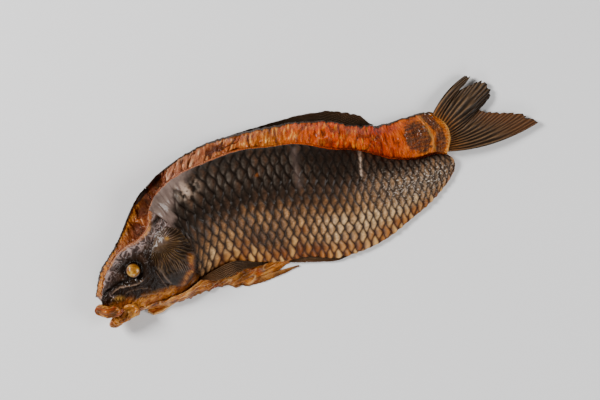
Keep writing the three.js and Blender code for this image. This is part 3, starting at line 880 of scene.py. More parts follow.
def head_relief(s, share, x, y, coordinates):
    from_eye = np.hypot(x - EYE[0], y - EYE[1])
    wrinkles = creases(x / 3.2, y / 3.2, 81) - 0.4
    long_folds = creases((x + y) / 9, (x - y) / 3.4, 91) - 0.4
    bony = 0.35 + 0.65 * np.clip(skull_band(x, y) + ease(-195 - x, 0, 12), 0, 1)
    height = 1.1 * wrinkles * bony + 1.0 * long_folds + 1.4 * rough(x / 14, y / 14, 101, 2)
    height += 0.5 * (creases(x / 1.7, y / 1.7, 83) - 0.4) * ease(-150 - x, 0, 15)
    height -= 2.6 * np.exp(-(((from_eye - 9.5) / 2.6) ** 2)) + 5.6 * ease(8.2 - from_eye, 0, 1.2)
    height += 1.9 * stroke(x, y, BROW, 2.2) + 1.5 * stroke(x, y, HIGHLIT_RIDGE, 0.9)
    height -= 2.6 * stroke(x, y, SNOUT_GROOVE, 2.0)
    height -= 1.3 * stroke(x, y, [(-207, -17), (-200, -19), (-192, -20.5), (-183, -19.5)], 1.6)
    height += 1.3 * strokes(x, y, CHEEK_FOLDS, 1.0)
    height -= 1.6 * spot(x, y, (-212, 0.5), 2.0, 1.4, 40)
    height -= 1.4 * stroke(x, y, NAPE_GROOVE, 1.8)
    fade = ease(share, 0, 0.03) * ease(1 - share, 0, 0.03)
    return height * fade


def head_masks(s, share, x, y):
    from_eye = np.hypot(x - EYE[0], y - EYE[1])
    wrinkles = creases(x / 3.2, y / 3.2, 81)
    patch = 0.5 + 0.5 * rough(x / 8, y / 8, 111)
    grey = np.clip(skull_band(x, y) * (0.5 + 0.9 * patch), 0, 1)
    brow_ridge = stroke(x, y, [(-206, 3), (-198, 7.5), (-188, 8.5), (-176, 9), (-166, 14)], 4.5)
    grey = np.maximum(grey, brow_ridge * (0.55 + 0.7 * patch))
    grey = np.maximum(grey, 0.65 * spot(x, y, (-147, 14), 13, 13) * (0.5 + 0.7 * patch))
    grey = np.maximum(grey, 0.6 * spot(x, y, (-219.5, -27), 4, 5) * wrinkles)
    # Painted shade in the eye socket, in the grooves of snout, cheek and nape, and along the gill
    # cover's front and rear edges.
    soot = np.exp(-(((from_eye - 8.6) / 4.4) ** 2))
    soot = np.maximum(soot, 0.95 * stroke(x, y, SNOUT_GROOVE, 3.0))
    soot = np.maximum(soot, 0.9 * stroke(x, y, [(-210, -16), (-198, -19), (-186, -20)], 2.6))
    soot = np.maximum(soot, 0.75 * stroke(x, y, [(-168, -6), (-171, -22), (-176, -34)], 5))
    soot = np.maximum(soot, 0.8 * stroke(x, y, NAPE_GROOVE, 2.8))
    soot = np.maximum(soot, 0.9 * stroke(x, y, GILL_SHADOW, 4))
    low = share + 0.05 * rough(x / 7, y / 4, 121)
    amber = ease(low, 0.80, 0.93) * (0.45 + 0.55 * ease(-150 - x, -10, 20))
    amber = np.maximum(amber, ease(low, 0.66, 0.86) * ease(-196 - x, 0, 12))
    amber = np.maximum(amber, 0.9 * ease(0.045 - share, -0.02, 0.03))
    worn = 0.55 + 0.6 * rough(x / 3, y / 3, 115)
    # Painted highlights along the ridge below the eye and on the crests of the cheek folds; the
    # pale line along the cut edge near the snout is the bone's own rim.
    pale = 0.8 * worn * stroke(x, y, HIGHLIT_RIDGE, 0.6)
    pale += 0.38 * worn * strokes(x, y, CHEEK_FOLDS, 0.5)
    pale = np.maximum(pale, 0.8 * ease(0.03 - share, -0.015, 0.02) * ease(5.2 - s, 0, 1))
    sulphur = spot(x, y, (-213.1, -31.5), 4.6, 2.2, -15)
    return {
        "grey": grey, "soot": np.clip(soot, 0, 1), "amber": np.clip(amber, 0, 1),
        "pale": np.clip(pale, 0, 1), "crest": wrinkles, "sulphur": sulphur,
    }


def head_skin_finish():
    """Tight, oily head skin: near black, frosted grey on bony crests, amber where it is thin."""
    made, tree, shader = new_finish("head_skin", 0.3, 0.22, 0.04, 0.06, (1, 0.8, 0.62))
    place = solid_place(tree)
    broad = grains(tree, place, 60, 4)
    fine = grains(tree, place, 520, 3)
    streaks = grains(tree, chart(tree), 1.0, 4, stretch=(1, 7, 1))
    grey, soot, amber, pale, crest, sulphur, rays = (
        mask(tree, k) for k in ("grey", "soot", "amber", "pale", "crest", "sulphur", "rays")
    )
    base = ramp(tree, broad, [
        (0.32, colour(0.0050, 0.0024, 0.0016)), (0.52, colour(0.0170, 0.0072, 0.0036)),
        (0.70, colour(0.046, 0.0180, 0.0075)),
    ])
    base = blend(tree, maths(tree, "MULTIPLY", rays, 0.85), base, ramp(tree, streaks, [
        (0.38, colour(0.020, 0.0084, 0.0024)), (0.62, colour(0.190, 0.105, 0.040)),
    ]))
    crested = ramp(tree, maths(tree, "ADD", crest, maths(tree, "MULTIPLY", fine, 0.5)), [
        (0.40, colour(0.060, 0.038, 0.034)), (1.00, colour(0.400, 0.280, 0.250)),
    ])
    base = blend(tree, grey, base, crested)
    smoked = ramp(tree, maths(tree, "ADD", maths(tree, "MULTIPLY", broad, 0.6), maths(
        tree, "MULTIPLY", streaks, 0.5)), [
        (0.38, colour(0.062, 0.0100, 0.0012)), (0.52, colour(0.250, 0.060, 0.0050)),
        (0.66, colour(0.560, 0.220, 0.036)),
    ])
    base = blend(tree, amber, base, smoked)
    # Painted shade in the grooves, the socket and along edges, with some dark patches.
    base = blend(tree, soot, base, colour(0.0051, 0.0023, 0.0010))
    base = blend(tree, sulphur, base, colour(0.400, 0.200, 0.0400))
    # Painted highlights, and the pale rim of the cut bone.
    base = blend(tree, pale, base, colour(0.314, 0.200, 0.136))
    tree.links.new(base, shader.inputs["Base Color"])
    dull_by(tree, shader, fine, 0.28, 0.40)
    relief = maths(tree, "ADD", broad, maths(tree, "MULTIPLY", fine, 0.4))
    tree.links.new(bump(tree, relief, 0.0007), shader.inputs["Normal"])
    return made


head_finish = head_skin_finish()
near_head = body_of_rings(
    "near_head_skin",
    near_half_panels(
        even_stations(lambda s: flank_point(s, 0.5), 0, GILL - 0.02, 330),
        head_relief, head_masks, 200,
    ),
    [head_finish, flesh_finish],
)
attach(near_head, "root")
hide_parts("near_head")


COVER_FRONT, COVER_REAR = 3.9, GILL + 0.15
COVER_TOP, COVER_FOOT = 0.16, 0.93
COVER_AIR = 0.6  # between the plate and the skin under it
COVER_FAN = (-154.3, 4.3)  # where its ribs start
PIT = (-145.2, 5.9)


def cover_panels():
    """The gill cover: a thin bony plate, ribbed like a fan, which laps over the flank."""
    along = np.linspace(0, 1, 210)
    station = (COVER_FRONT + (COVER_REAR - COVER_FRONT) * along)[:, None]
    across = np.linspace(0, 1, 230)[None, :]
    corner = 0.2 * (2 * along[:, None] - 1) ** 2
    share = COVER_TOP + corner + (COVER_FOOT - COVER_TOP - 2 * corner) * across
    plan = flank_point(station + 0 * share, share)
    hump = 0.35 + 0.65 * np.sin(np.pi * across) * np.sin(np.pi * (0.15 + 0.7 * along[:, None]))
    top = grid_of(plan, crown(station, share) + COVER_AIR + 3 * hump)
    bottom = grid_of(plan, crown(station, share) + COVER_AIR)[:, ::-1]
    x, y = plan[..., 0], plan[..., 1]
    dx, dy = x - COVER_FAN[0], y - COVER_FAN[1]
    angle, out = np.arctan2(dy, dx), np.hypot(dx, dy)
    wander = angle + 0.05 * noise(out / 4, angle * 6, 131)
    ribs = np.sin(wander * 44) * ease(out, 4, 12) * (1 - ease(out, 30, 38))
    fine = np.sin(x * 2 * np.pi / 1.9 + 0.8 * noise(x / 4, y / 4, 3)) * spot(
        x, y, (-143, -25), 8, 5, -45)
    edge = np.minimum(np.minimum(across, 1 - across) + 0 * x,
                      np.minimum(along, 1 - along)[:, None] + 0 * x)
    height = 0.55 * ribs + 0.45 * fine + 0.8 * rough(x / 8, y / 8, 141) - 0.5 * spot(
        x, y, PIT, 1.6, 1.6)
    top = raised(top, height * ease(edge, 0, 0.06))
    rear = stroke(x, y, [(-131, -18), (-136, -31), (-147, -40), (-161, -46)], 2.6)
    amber = rear * (0.62 + 0.5 * rough(x / 3, y / 3, 151))
    rays = (0.55 + 0.45 * ribs) * (1 - ease(out, 26, 40)) * (0.75 + 0.5 * rough(x / 9, y / 9, 161))
    grey = 0.45 * spot(x, y, (-148, 8), 10, 7, 20) * (0.6 + 0.5 * rough(x / 3, y / 3, 171))
    # A dark band along the plate's front edge and a dark patch low down, with painted shade along
    # the gill slit at its rear.
    soot = 0.65 * stroke(x, y, [(-170, 4), (-169, -14), (-168, -32)], 6.5)
    soot = np.maximum(soot, 0.5 * spot(x, y, (-155, -33), 12, 9, -30))
    soot = np.maximum(soot, 0.6 * stroke(x, y, [(-140, 14), (-132, 2), (-129, -14)], 3.0))
    # Pale is a painted highlight on the crests of the fine ridges and of the preopercle ridge.
    masks = {
        "amber": np.clip(amber, 0, 1), "rays": np.clip(rays, 0, 1), "grey": np.clip(grey, 0, 1),
        "soot": np.clip(soot, 0, 1), "crest": 0.5 + 0.5 * ribs,
        "sulphur": spot(x, y, PIT, 1.8, 1.8),
        "pale": 0.5 * fine * (fine > 0) + 0.35 * stroke(
            x, y, [(-163.4, -18), (-162, -28), (-160, -36)], 0.9),
    }
    # The chart turns with the fan, so that the skin's streaks follow the ribs.
    fan = np.stack([out / 9, angle * 5], axis=-1)
    # The plate's thin sides are darkened with painted shade.
    return [
        panel(top, 0, fan, **masks), panel(between(top, bottom, 1), 0, (0, 0), soot=0.5),
        panel(bottom, 0, (0, 0), amber=0.8), panel(between(bottom, top, 1), 0, (0, 0), soot=0.5),
    ]


near_gill_cover = body_of_rings("near_gill_cover_plate", cover_panels(), [head_finish])
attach(near_gill_cover, "root")
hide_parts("near_gill_cover")

# ---------------------------------------------------------------- eyes
# Each eye is a ball that heat has turned golden and dried, so that it is dimpled and flattened. It
# sits loose in its socket.
EYE_RADIUS, EYE_HALF_HEIGHT = 7, 4.6
EYE_SUNK = 1.5  # how far its middle lies under the skin round it
FAR_EYE_HEIGHT = 4.9


def eye_finish():
    made, tree, shader = new_finish("eye", 0.16, 0.5, 0.05, 0.3)
    place = solid_place(tree)
    cloud = grains(tree, place, 170, 3)
    fine = grains(tree, place, 700, 2)
    gold = ramp(tree, cloud, [
        (0.34, colour(0.132, 0.036, 0.0032)), (0.47, colour(0.300, 0.118, 0.0094)),
        (0.58, colour(0.480, 0.241, 0.028)), (0.68, colour(0.570, 0.409, 0.154)),
    ])
    gold = blend(tree, mask(tree, "pupil"), gold, colour(0.192, 0.056, 0.0037))
    # Painted shade round the edge of the ball, deepest on its left, where the socket's rim shades
    # it.
    gold = blend(tree, mask(tree, "ring"), gold, colour(0.051, 0.0158, 0.0030))
    tree.links.new(gold, shader.inputs["Base Color"])
    dull_by(tree, shader, fine, 0.08, 0.2)
    tree.links.new(bump(tree, cloud, 0.0012), shader.inputs["Normal"])
    return made


def dried_eye(name, height):
    turn, tilt = np.meshgrid(
        np.linspace(0, 2 * np.pi, 72, endpoint=False), np.linspace(-1.5, 1.5, 60)
    )
    radius = np.cos(tilt)
    x, y = EYE_RADIUS * radius * np.cos(turn), EYE_RADIUS * radius * np.sin(turn)
    dimples = 0.30 * noise(x / 2.4 + 9, y / 2.4, 181) + 0.5 * spot(x, y, (0.8, -0.6), 2.4, 2.6)
    z = EYE_HALF_HEIGHT * np.sin(tilt) * (1 - 0.06 * dimples)
    shape = np.stack([x + EYE[0], y + EYE[1], z + height], axis=-1)
    # Painted shade round the ball's edge, deepest on its left.
    return body_of_rings(name, [panel(
        shape, 0, pupil=0.8 * spot(x, y, (1.2, -1.4), 1.9, 2.2),
        ring=ease(np.hypot(x, y), 5.2, 6.9) + 0.35 * spot(x, y, (-4, 0), 1.6, 4),
    )], [gold_finish])


gold_finish = eye_finish()
near_eye = dried_eye("near_eye_ball", float(crown(2.6, 0.41)) - EYE_SUNK)
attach(near_eye, "root")
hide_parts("near_eye")
far_eye = dried_eye("far_eye_ball", FAR_EYE_HEIGHT)
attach(far_eye, "root")
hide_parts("far_eye")

# ---------------------------------------------------------------- throat and belly ridge
# A band of skin, bone and gristle along the underside still joins the two halves. It is thin,
# oily and amber, drawn into lengthwise folds, with a ragged outer edge.


def amber_skin_finish():
    """Thin skin with oil under it: deep orange with brown folds, and tight crests brightened with
    painted highlight. Painted shade darkens the troughs of folds and the skin under edges.
    """
    made, tree, shader = new_finish("amber_skin", 0.28, 0.22, 0.06, 0.35, (1, 0.55, 0.2))
    where = chart(tree)
    place = solid_place(tree)
    streaks = grains(tree, where, 1.0, 4, stretch=(1, 5, 1))
    broad = grains(tree, place, 75, 3)
    fine = grains(tree, place, 480, 3)
    shade = maths(tree, "ADD", maths(tree, "MULTIPLY", streaks, 0.55), maths(
        tree, "MULTIPLY", broad, 0.45,
    ))
    base = ramp(tree, shade, [
        (0.37, colour(0.045, 0.0085, 0.0010)), (0.45, colour(0.200, 0.044, 0.0034)),
        (0.53, colour(0.440, 0.140, 0.0160)), (0.63, colour(0.820, 0.410, 0.085)),
    ])
    base = blend(tree, mask(tree, "pale"), base, colour(0.800, 0.480, 0.200))
    # Dark patches, with painted shade in the troughs of folds and under edges.
    base = blend(tree, mask(tree, "soot"), base, ramp(tree, fine, [
        (0.35, colour(0.0138, 0.0053, 0.0020)), (0.65, colour(0.066, 0.023, 0.0088)),
    ]))
    base = blend(tree, mask(tree, "ember"), base, colour(0.262, 0.022, 0.0020))
    tree.links.new(base, shader.inputs["Base Color"])
    dull_by(tree, shader, fine, 0.15, 0.35)
    relief = maths(tree, "ADD", streaks, maths(tree, "MULTIPLY", fine, 0.35))
    tree.links.new(bump(tree, relief, 0.0014), shader.inputs["Normal"])
    return made


amber_finish = amber_skin_finish()
keel_top = curve_through([14, 15, 14, 6, 4, 4, 4])
THROAT_FRONT, BELLY_END = 2.0, 10.5


def throat_panels():
    station = np.linspace(THROAT_FRONT, BELLY_END, 340)[:, None]
    across = np.linspace(0, 1, 60)[None, :]
    inner, outer = belly_line(station), keel_line(station)
    towards = (outer - inner) / np.linalg.norm(outer - inner, axis=-1, keepdims=True)
    inner = inner + 0.6 * towards
    fray = 1.02 + 0.22 * ease(station, 6.8, 8) + 0.10 * noise(station * 6, 0 * station, 191)
    fray = (fray - 0.06 * creases(station * 2.2, 0 * station, 201)) * (
        1 - 0.93 * ease(station, 9.2, 10.7))
    plan = inner + (outer - inner) * (across * fray)[..., None]
    x, y = plan[..., 0], plan[..., 1]
    floor = 0.3 + HEAD_LIFT * (1 - ease(station, 6.3, 7))
    rounded = np.cos(np.pi / 2 * across * 0.93)
    top = grid_of(plan, floor + (keel_top(station) - floor) * rounded)
    folds = creases(x / 26, (y - 0.25 * x) / 2.8, 211) - 0.3
    height = 1.1 * folds + 1.0 * rough(x / 9, y / 5, 221)
    top = raised(top, height * ease(across, 0, 0.12) * ease(1 - across, -0.02, 0.1))
    bottom = grid_of(plan, floor)[:, ::-1]
    dark = ease(rough(x / 12, y / 5, 231), 0.15, 0.55)
    dark = np.maximum(0.55 * dark, 0.8 * ease(across - 0.86, 0, 0.1) * (station > 5))
    chart_of_skin = np.stack([x / 16, y / 4], axis=-1)
    # Painted highlight on the crests of the folds, and painted shade on the inner edge under the
    # near flank.
    return [
        panel(top, 0, chart_of_skin, pale=0.45 * ease(folds, 0.35, 0.68), soot=dark * 0.85,
              ember=0.5 * ease(-rough(x / 7, y / 4, 241), 0.2, 0.6)),
        panel(between(top, bottom, 1), 0, (0, 0), pale=0.5),
        panel(bottom, 0, chart_of_skin[:, ::-1]),
        panel(between(bottom, top, 2), 0, (0, 0), soot=0.6),
    ]


throat = body_of_rings("throat_and_belly_skin", throat_panels(), [amber_finish])
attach(throat, "root")
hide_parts("throat_and_belly")


def far_cover_panels():
    """The far gill cover, pressed flat under the head. Only its lower lobe can be seen."""
    x = np.linspace(-194.6, -134.4, 130)
    upper = np.interp(x, [-195, -192, -186, -178, -172, -160, -146, -136, -134],
                      [-55, -48, -37, -26, 8, 18, 16, 2, -22])
    lower = np.interp(x, [-195, -190, -181, -172, -160, -154, -139, -134],
                      [-55, -60.2, -60.6, -58, -55, -53, -42, -22])
    across = np.linspace(0, 1, 90)[None, :]
    y = upper[:, None] + (lower - upper)[:, None] * across
    plan = np.stack([np.broadcast_to(x[:, None], y.shape), y], axis=-1)
    edge = np.minimum(across, 1 - across) * (upper - lower)[:, None]
    rim = np.exp(-(((edge - 1.2) / 0.9) ** 2))
    folds = creases(plan[..., 0] / 4, plan[..., 1] / 4, 251) - 0.3
    top = grid_of(plan, 2.2 + 1.0 * rim + 0.7 * folds * ease(edge, 0, 3))
    bottom = grid_of(plan, 0.25 * ease(edge, 0, 1.5) * folds + 0.3)[:, ::-1]
    bottom[..., 2] = np.maximum(bottom[..., 2], 0)
    chart_of_skin = plan / 9
    # Painted highlight along the raised rim and on the plate's thin sides.
    return [
        panel(top, 0, chart_of_skin, pale=0.8 * rim, ember=0.7 * ease(edge, 2, 4)),
        panel(between(top, bottom, 1), 0, (0, 0), pale=0.5),
        panel(bottom, 0, chart_of_skin[:, ::-1]),
        panel(between(bottom, top, 1), 0, (0, 0), pale=0.5),
    ]


far_gill_cover = body_of_rings("far_gill_cover_plate", far_cover_panels(), [amber_finish])
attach(far_gill_cover, "root")
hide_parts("far_gill_cover")

# ---------------------------------------------------------------- fins along the body
# Fins are thin skin on a fan of bony rays. Smoking folded them flat along the body and dried them
# stiff. Their outer edges are ragged.


def fin_skin_finish():
    """Dried fin: blackened skin between paler, striped rays, browner towards its tips."""
    made, tree, shader = new_finish("fin_skin", 0.4, 0.10, 0.2, 0.2, (1, 0.8, 0.6))
    where = chart(tree)
    place = solid_place(tree)
    broad = grains(tree, place, 60, 3)
    fine = grains(tree, where, 2.0, 4, stretch=(1, 12, 1))
    ray, tip, glow = (mask(tree, k) for k in ("ray", "tip", "glow"))
    web = ramp(tree, broad, [
        (0.35, colour(0.0060, 0.0030, 0.0016)), (0.65, colour(0.030, 0.0147, 0.0076)),
    ])
    bone = ramp(tree, fine, [
        (0.32, colour(0.078, 0.041, 0.0200)), (0.55, colour(0.210, 0.120, 0.060)),
        (0.72, colour(0.420, 0.255, 0.130)),
    ])
    base = blend(tree, ray, web, bone)
    base = blend(tree, maths(tree, "MULTIPLY", tip, broad), base, colour(0.190, 0.062, 0.0170))
    base = blend(tree, glow, base, ramp(tree, fine, [
        (0.35, colour(0.144, 0.032, 0.0042)), (0.65, colour(0.372, 0.158, 0.038)),
    ]))
    # Charred ends and dark web between rays, with painted shade on the tail's middle leaf beside
    # the third.
    base = blend(tree, mask(tree, "soot"), base, colour(0.0048, 0.0024, 0.0017))
    tree.links.new(base, shader.inputs["Base Color"])
    dull_by(tree, shader, fine, 0.25, 0.35)
    relief = maths(tree, "ADD", ray, maths(tree, "MULTIPLY", fine, 0.6))
    tree.links.new(bump(tree, relief, 0.0005), shader.inputs["Normal"])
    return made


fin_finish = fin_skin_finish()


def folded_fin(name, cad_node, finish, line, start, end, outward, heights, floor,
               sweep=0.0, rays=14, lean=1.0, seed=0, colours=None):
    """A fin lying flat beside the body. The rays run along it where lean is 1, and stand square to
    its root where lean is 0."""
    along = np.linspace(0, 1, 190)[:, None]
    across = np.linspace(0, 1, 64)[None, :]
    station = start + (end - start) * along
    root = line(station)
    ahead = line(station + 0.05) - line(station - 0.05)
    ahead /= np.linalg.norm(ahead, axis=-1, keepdims=True)
    out = np.stack([-ahead[..., 1], ahead[..., 0]], axis=-1) * outward
    height = curve_through(heights)(along * TAIL)
    torn = 1 - 0.10 * creases(along * 17, 0 * along, seed)
    torn = torn - 0.05 * noise(along * 60, 0 * along, seed)
    reach = across * height * torn
    plan = root + out * (reach + 0.2)[..., None] + ahead * (sweep * reach)[..., None]
    fan = (1 - lean) * along * rays + lean * across * rays * 0.75 + 0.15 * noise(
        along * 4, across * 3, seed + 1)
    wave = 0.5 - 0.5 * np.cos(2 * np.pi * fan)
    base = floor(station)
    thick = 1.4 * (1 - 0.45 * across)
    waviness = 0.5 * rough(along * 9, across * 2, seed + 2) * across
    top = grid_of(plan, base + thick + 0.55 * wave ** 2 + waviness)
    bottom = grid_of(plan, base + 0.15 * wave ** 2)[:, ::-1]
    masks = {"ray": wave ** 2, "tip": across ** 2 + 0 * along, "soot": 0.0 * wave}
    masks.update(colours(along, across, wave) if colours else {})
    where = np.stack([along * 8 + 0 * across, fan], axis=-1)
    piece = body_of_rings(name, [
        panel(top, 0, where, **masks), panel(between(top, bottom, 1), 0, (0, 0), tip=1.0),
        panel(bottom, 0, where[:, ::-1], ray=(wave ** 2)[:, ::-1]),
        panel(between(bottom, top, 1), 0, (0, 0)),
    ], [finish])
    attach(piece, "root")
    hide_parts(cad_node)


def on_floor(station):
    return 0.3 + 0 * station


def far_belly_edge(station):
    return flank_point(station, far_reach(station))


def inside_belly_edge(station):
    return flank_point(station, 0.91 + 0 * station)


def on_throat(station):
    return keel_top(station) + 0.6


def on_far_half(station):
    return 2.3 + 0 * station


def sooty_web(along, across, wave):
    return {"soot": 0.9 - 0.45 * wave + 0 * along}


def glowing_tip(along, across, wave):
    edge = stroke(along + 0 * across, across + 0 * along, [(0.6, 0.93), (0.97, 0.9)], 0.05)
    return {
        "tip": 0.2 + 0 * wave, "soot": 0.75 * ease(along, 0.5, 0.62) * (1 - 0.5 * wave),
        "glow": 0.22 * (1 - ease(along, 0.1, 0.5)) + 0.8 * edge,
    }


def pale_root(along, across, wave):
    return {"pale": 0.5 * wave * (1 - across), "soot": 0.5 * across ** 2 + 0 * along}


folded_fin(
    "dorsal_fin_rays", "dorsal_fin", fin_finish, back_line, 9.6, 14.7, 1,
    [1, 3, 5, 8, 11.5, 12, 2.5], on_floor, sweep=0.7, rays=22, lean=0.45, seed=301,
    colours=sooty_web,
)
folded_fin(
    "anal_fin_rays", "anal_fin", fin_finish, far_belly_edge, 14, 15.6, -1,
    [5, 17, 13, 8, 5], on_floor, sweep=0.8, rays=9, lean=0.2, seed=311,
)
folded_fin(
    "near_pectoral_fin_rays", "near_pectoral_fin", fin_finish, belly_line, 6.05, 9.25,
    -1, [1.5, 8, 12, 14, 11, 6, 1], on_throat, rays=10, lean=0.92, seed=321,
    colours=glowing_tip,
)
folded_fin(
    "far_pectoral_fin_rays", "far_pectoral_fin", amber_finish, keel_line, 7.7, 10.5,
    -1, [2, 5, 6, 5.5, 4, 1.5], on_floor, rays=7, lean=0.95, seed=331,
    colours=pale_root,
)
folded_fin(
    "near_pelvic_fin_rays", "near_pelvic_fin", fin_finish, belly_line, 10.15, 12.4, -1,
    [3, 6, 6, 4, 1], on_far_half, rays=7, lean=0.9, seed=341,
)
folded_fin(
    "far_pelvic_fin_rays", "far_pelvic_fin", fin_finish, inside_belly_edge, 11, 12.9,
    -1, [3, 8, 8, 7, 3], on_floor, rays=8, lean=0.9, seed=351,
)

# ---------------------------------------------------------------- tail fin
# The tail fin has dried into three overlapping leaves of stiff rays, which grow from the bony root
# of the tail. Their ends have broken off ragged.
RAY_ENDS = [
    (188, 46), (191, 42.5), (185, 38), (177, 34.5), (189, 35), (199, 35), (205, 27), (204, 19),
    (197, 13), (188, 9), (195, 3), (209, -3), (222, -9), (231, -17), (237, -25.5),
]
LEAVES = [  # first and last share of the fin across, its lift, and the number of its rays
    (0.0, 0.20, 1.3, 3),
    (0.14, 0.66, 0.2, 8),
    (0.60, 1.0, 1.0, 9),
]


TAIL_SUNK = 1.5  # how far the rays reach into the root
ROOT_HEIGHT, END_HEIGHT = 12, 5
ROOT_THICK, END_THICK = 2.4, 1.4


def tail_leaf(first, last, lift, rays, seed):
    along = np.linspace(0, 1, 150)[:, None]
    across = np.linspace(0, 1, rays * 16)[None, :]
    share = first + (last - first) * across
    root = strip_point(TAIL + 0 * share, 0.03 + 0.94 * share)
    root[..., 0] -= TAIL_SUNK
    end = curve_through(RAY_ENDS)(share * TAIL)
    broken = 0.035 * creases(share * 30, 0 * share, seed)
    broken = broken + 0.02 * noise(share * 90, 0 * share, seed)
    end = end + (root - end) * (broken * ease(0.97 - share, 0, 0.05))[..., None]
    bend = root + 0.45 * (end - root)
    bend[..., 1] += 8 + (-13 - 8) * share
    t = along[..., None]
    plan = root * (1 - t) ** 2 + 2 * bend * t * (1 - t) + end * t**2
    fan = across * rays
    split = fan + 0.12 * noise(along * 5, fan, seed + 3)
    wave = 0.5 - 0.5 * np.cos(2 * np.pi * split)
    forked = 0.5 - 0.5 * np.cos(4 * np.pi * split)
    ray = wave ** 2.2 * (1 - ease(along, 0.5, 0.85)) + forked ** 1.5 * ease(
        along, 0.5, 0.85) * 0.75
    middle = ROOT_HEIGHT + (END_HEIGHT - ROOT_HEIGHT) * along
    middle = middle + lift * np.sin(np.pi * np.clip(along, 0, 0.5))
    middle = middle + 0.8 * rough(along * 4, share * 7, seed + 5) * along
    half = (ROOT_THICK + (END_THICK - ROOT_THICK) * along) / 2
    root_swell = 1.6 * (1 - ease(along, 0.0, 0.16)) * np.sin(np.pi * (0.1 + 0.8 * share))
    top = grid_of(plan, middle + half + 1.2 * ray * (1 - 0.45 * along) + root_swell)
    bottom = grid_of(plan, middle - half - 0.4 * ray)[:, ::-1]
    glow = (1 - ease(along, 0.02, 0.15 + 0.25 * wave)) * (0.45 + 0.5 * wave)
    tip = ease(along, 0.5, 1) * ease(share, 0.5, 0.8) + 0 * across
    # Painted shade on the middle leaf, beside where the third leaf lies over it.
    shaded = 0.55 * ease(share, 0.40, 0.5) * (first < 0.5) * ease(along, 0.25, 0.5)
    soot = 0.7 * ease(along, 0.985, 1.0) + shaded + 0.6 * (1 - ray)
    where = np.stack([along * 6 + 0 * fan, split + 40 * first], axis=-1)
    return [
        panel(top, 0, where, ray=ray, tip=tip, glow=glow, soot=np.clip(soot, 0, 1)),
        panel(between(top, bottom, 1), 0, (0, 0), ray=0.3),
        panel(bottom, 0, where[:, ::-1], ray=ray[:, ::-1]),
        panel(between(bottom, top, 1), 0, (0, 0), ray=0.3),
    ]


leaves = [
    body_of_rings(f"tail_fin_leaf_{i + 1}", tail_leaf(*leaf, 401 + 20 * i), [fin_finish])
    for i, leaf in enumerate(LEAVES)
]
for leaf in leaves:
    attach(leaf, "root")
    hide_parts("tail_fin")

# ---------------------------------------------------------------- mouth
# The open mouth: a thick upper lip round its front and the slim lower jaw below, both puckered and
# glazed amber by the smoke.


def puckered(name, path, radii, seed, charred):
    """A soft, folded roll along a path. Each radius has a width in plan and a height."""
    path, radii = np.array(path, float), np.array(radii, float)
    along = np.linspace(0, 1, 120)
    centre = curve_through(path)(along * TAIL)
    size = curve_through(radii)(along * TAIL)
    ahead = np.gradient(centre, axis=0)
    ahead /= np.linalg.norm(ahead, axis=-1, keepdims=True)
    side = np.cross(ahead, [0, 0, 1.0])
    side /= np.linalg.norm(side, axis=-1, keepdims=True)
    up = np.cross(side, ahead)
    turn = np.linspace(0, 2 * np.pi, 72, endpoint=False)[None, :]
    closing = np.sqrt(np.clip(1 - (2 * along - 1) ** 10, 0.02, 1))[:, None]
    folds = creases(along[:, None] * 7 + 0 * turn, 2.8 * np.sin(turn) + 3, seed) - 0.35
    lumps = rough(along[:, None] * 5 + 2 * np.cos(turn), 2 * np.sin(turn), seed + 3, 2)
    swell = closing * (1 + 0.34 * folds + 0.26 * lumps)
    shape = (
        centre[:, None] + side[:, None] * (size[:, :1] * np.cos(turn) * swell)[..., None]
        + up[:, None] * (size[:, 1:] * np.sin(turn) * swell)[..., None]
    )
    where = np.stack([along[:, None] * 3 + 0 * turn, np.sin(turn) * 2 + 0 * along[:, None]], -1)
    # Painted highlight on the crests of the folds and painted shade in their troughs.
    return body_of_rings(name, [panel(
        shape, 0, where, pale=0.45 * ease(folds, 0.30, 0.65),
        ember=0.9 * charred * ease(lumps, 0.0, 0.5), soot=charred * ease(-folds, 0.0, 0.32),
    )], [amber_finish])


upper_lip = puckered(
    "upper_lip_roll",
    [(-212, -42, 31), (-220, -42.2, 31), (-228.5, -39.5, 30), (-234.8, -34.5, 24),
     (-232.5, -40, 17.5), (-228, -43.4, 12.7)],
    [(2.8, 2.8), (4.3, 4.2), (4.6, 4.6), (4.4, 5.0), (4.4, 4.4), (3.6, 3.6)], 501, 0.85,
)
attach(upper_lip, "root")
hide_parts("upper_lip")

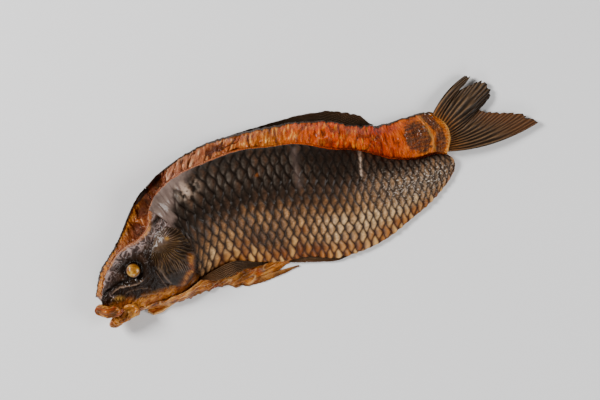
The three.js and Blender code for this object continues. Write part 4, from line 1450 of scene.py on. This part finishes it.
lower_jaw = puckered(
    "lower_jaw_trough",
    [(-233, -53, 18), (-229, -52.2, 18), (-219, -49, 18), (-209, -46.8, 18), (-199, -47, 18)],
    [(2, 3.5), (3.9, 6.5), (6.0, 8.5), (6.8, 9), (5.5, 8)], 521, 0.4,
)
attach(lower_jaw, "root")
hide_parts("lower_jaw")

# ---------------------------------------------------------------- floor, light and camera
# A pale floor, a broad soft light from the upper left, and a camera straight above the fish.
FLOOR = 3  # from its middle to each side, in metres as all that follows
CAMERA_HEIGHT = 1.6
CAMERA_TURN = -22  # degrees
floor_mesh = bpy.data.meshes.new("floor")
corners = [(-FLOOR, -FLOOR, 0), (FLOOR, -FLOOR, 0), (FLOOR, FLOOR, 0), (-FLOOR, FLOOR, 0)]
floor_mesh.from_pydata(corners, [], [(0, 1, 2, 3)])
floor = bpy.data.objects.new("floor", floor_mesh)
bpy.context.scene.collection.objects.link(floor)
floor_finish, _, floor_shader = new_finish("pale_floor", 0.6, 0.0)
floor_shader.inputs["Base Color"].default_value = colour(0.90, 0.895, 0.895)
floor_mesh.materials.append(floor_finish)


def soft_light(name, place, size, watts):
    lamp = bpy.data.lights.new(name, "AREA")
    lamp.shape, lamp.size, lamp.energy = "DISK", size, watts
    holder = bpy.data.objects.new(name, lamp)
    holder.location = place
    bpy.context.scene.collection.objects.link(holder)
    towards = -np.array(place)
    flat = math.hypot(towards[0], towards[1])
    holder.rotation_euler = (
        math.atan2(flat, -towards[2]), 0, math.atan2(towards[1], towards[0]) - math.pi / 2
    )


soft_light("window", (-1.3, 1.2, 1.5), 0.9, 74)
soft_light("fill", (1.6, -1.0, 1.5), 1.2, 34)
soft_light("low fill", (-0.6, -1.8, 1.1), 1.0, 16)
world = bpy.data.worlds.new("studio")
world.use_nodes = True
world.node_tree.nodes["Background"].inputs["Color"].default_value = colour(1, 1, 1)
world.node_tree.nodes["Background"].inputs["Strength"].default_value = 0.14
bpy.context.scene.world = world

lens = bpy.data.cameras.new("camera")
lens.lens, lens.sensor_width = 96, 36
camera = bpy.data.objects.new("camera", lens)
camera.location = (-0.012, -0.008, CAMERA_HEIGHT)
camera.rotation_euler = (0, 0, math.radians(CAMERA_TURN))
bpy.context.scene.collection.objects.link(camera)
bpy.context.scene.camera = camera
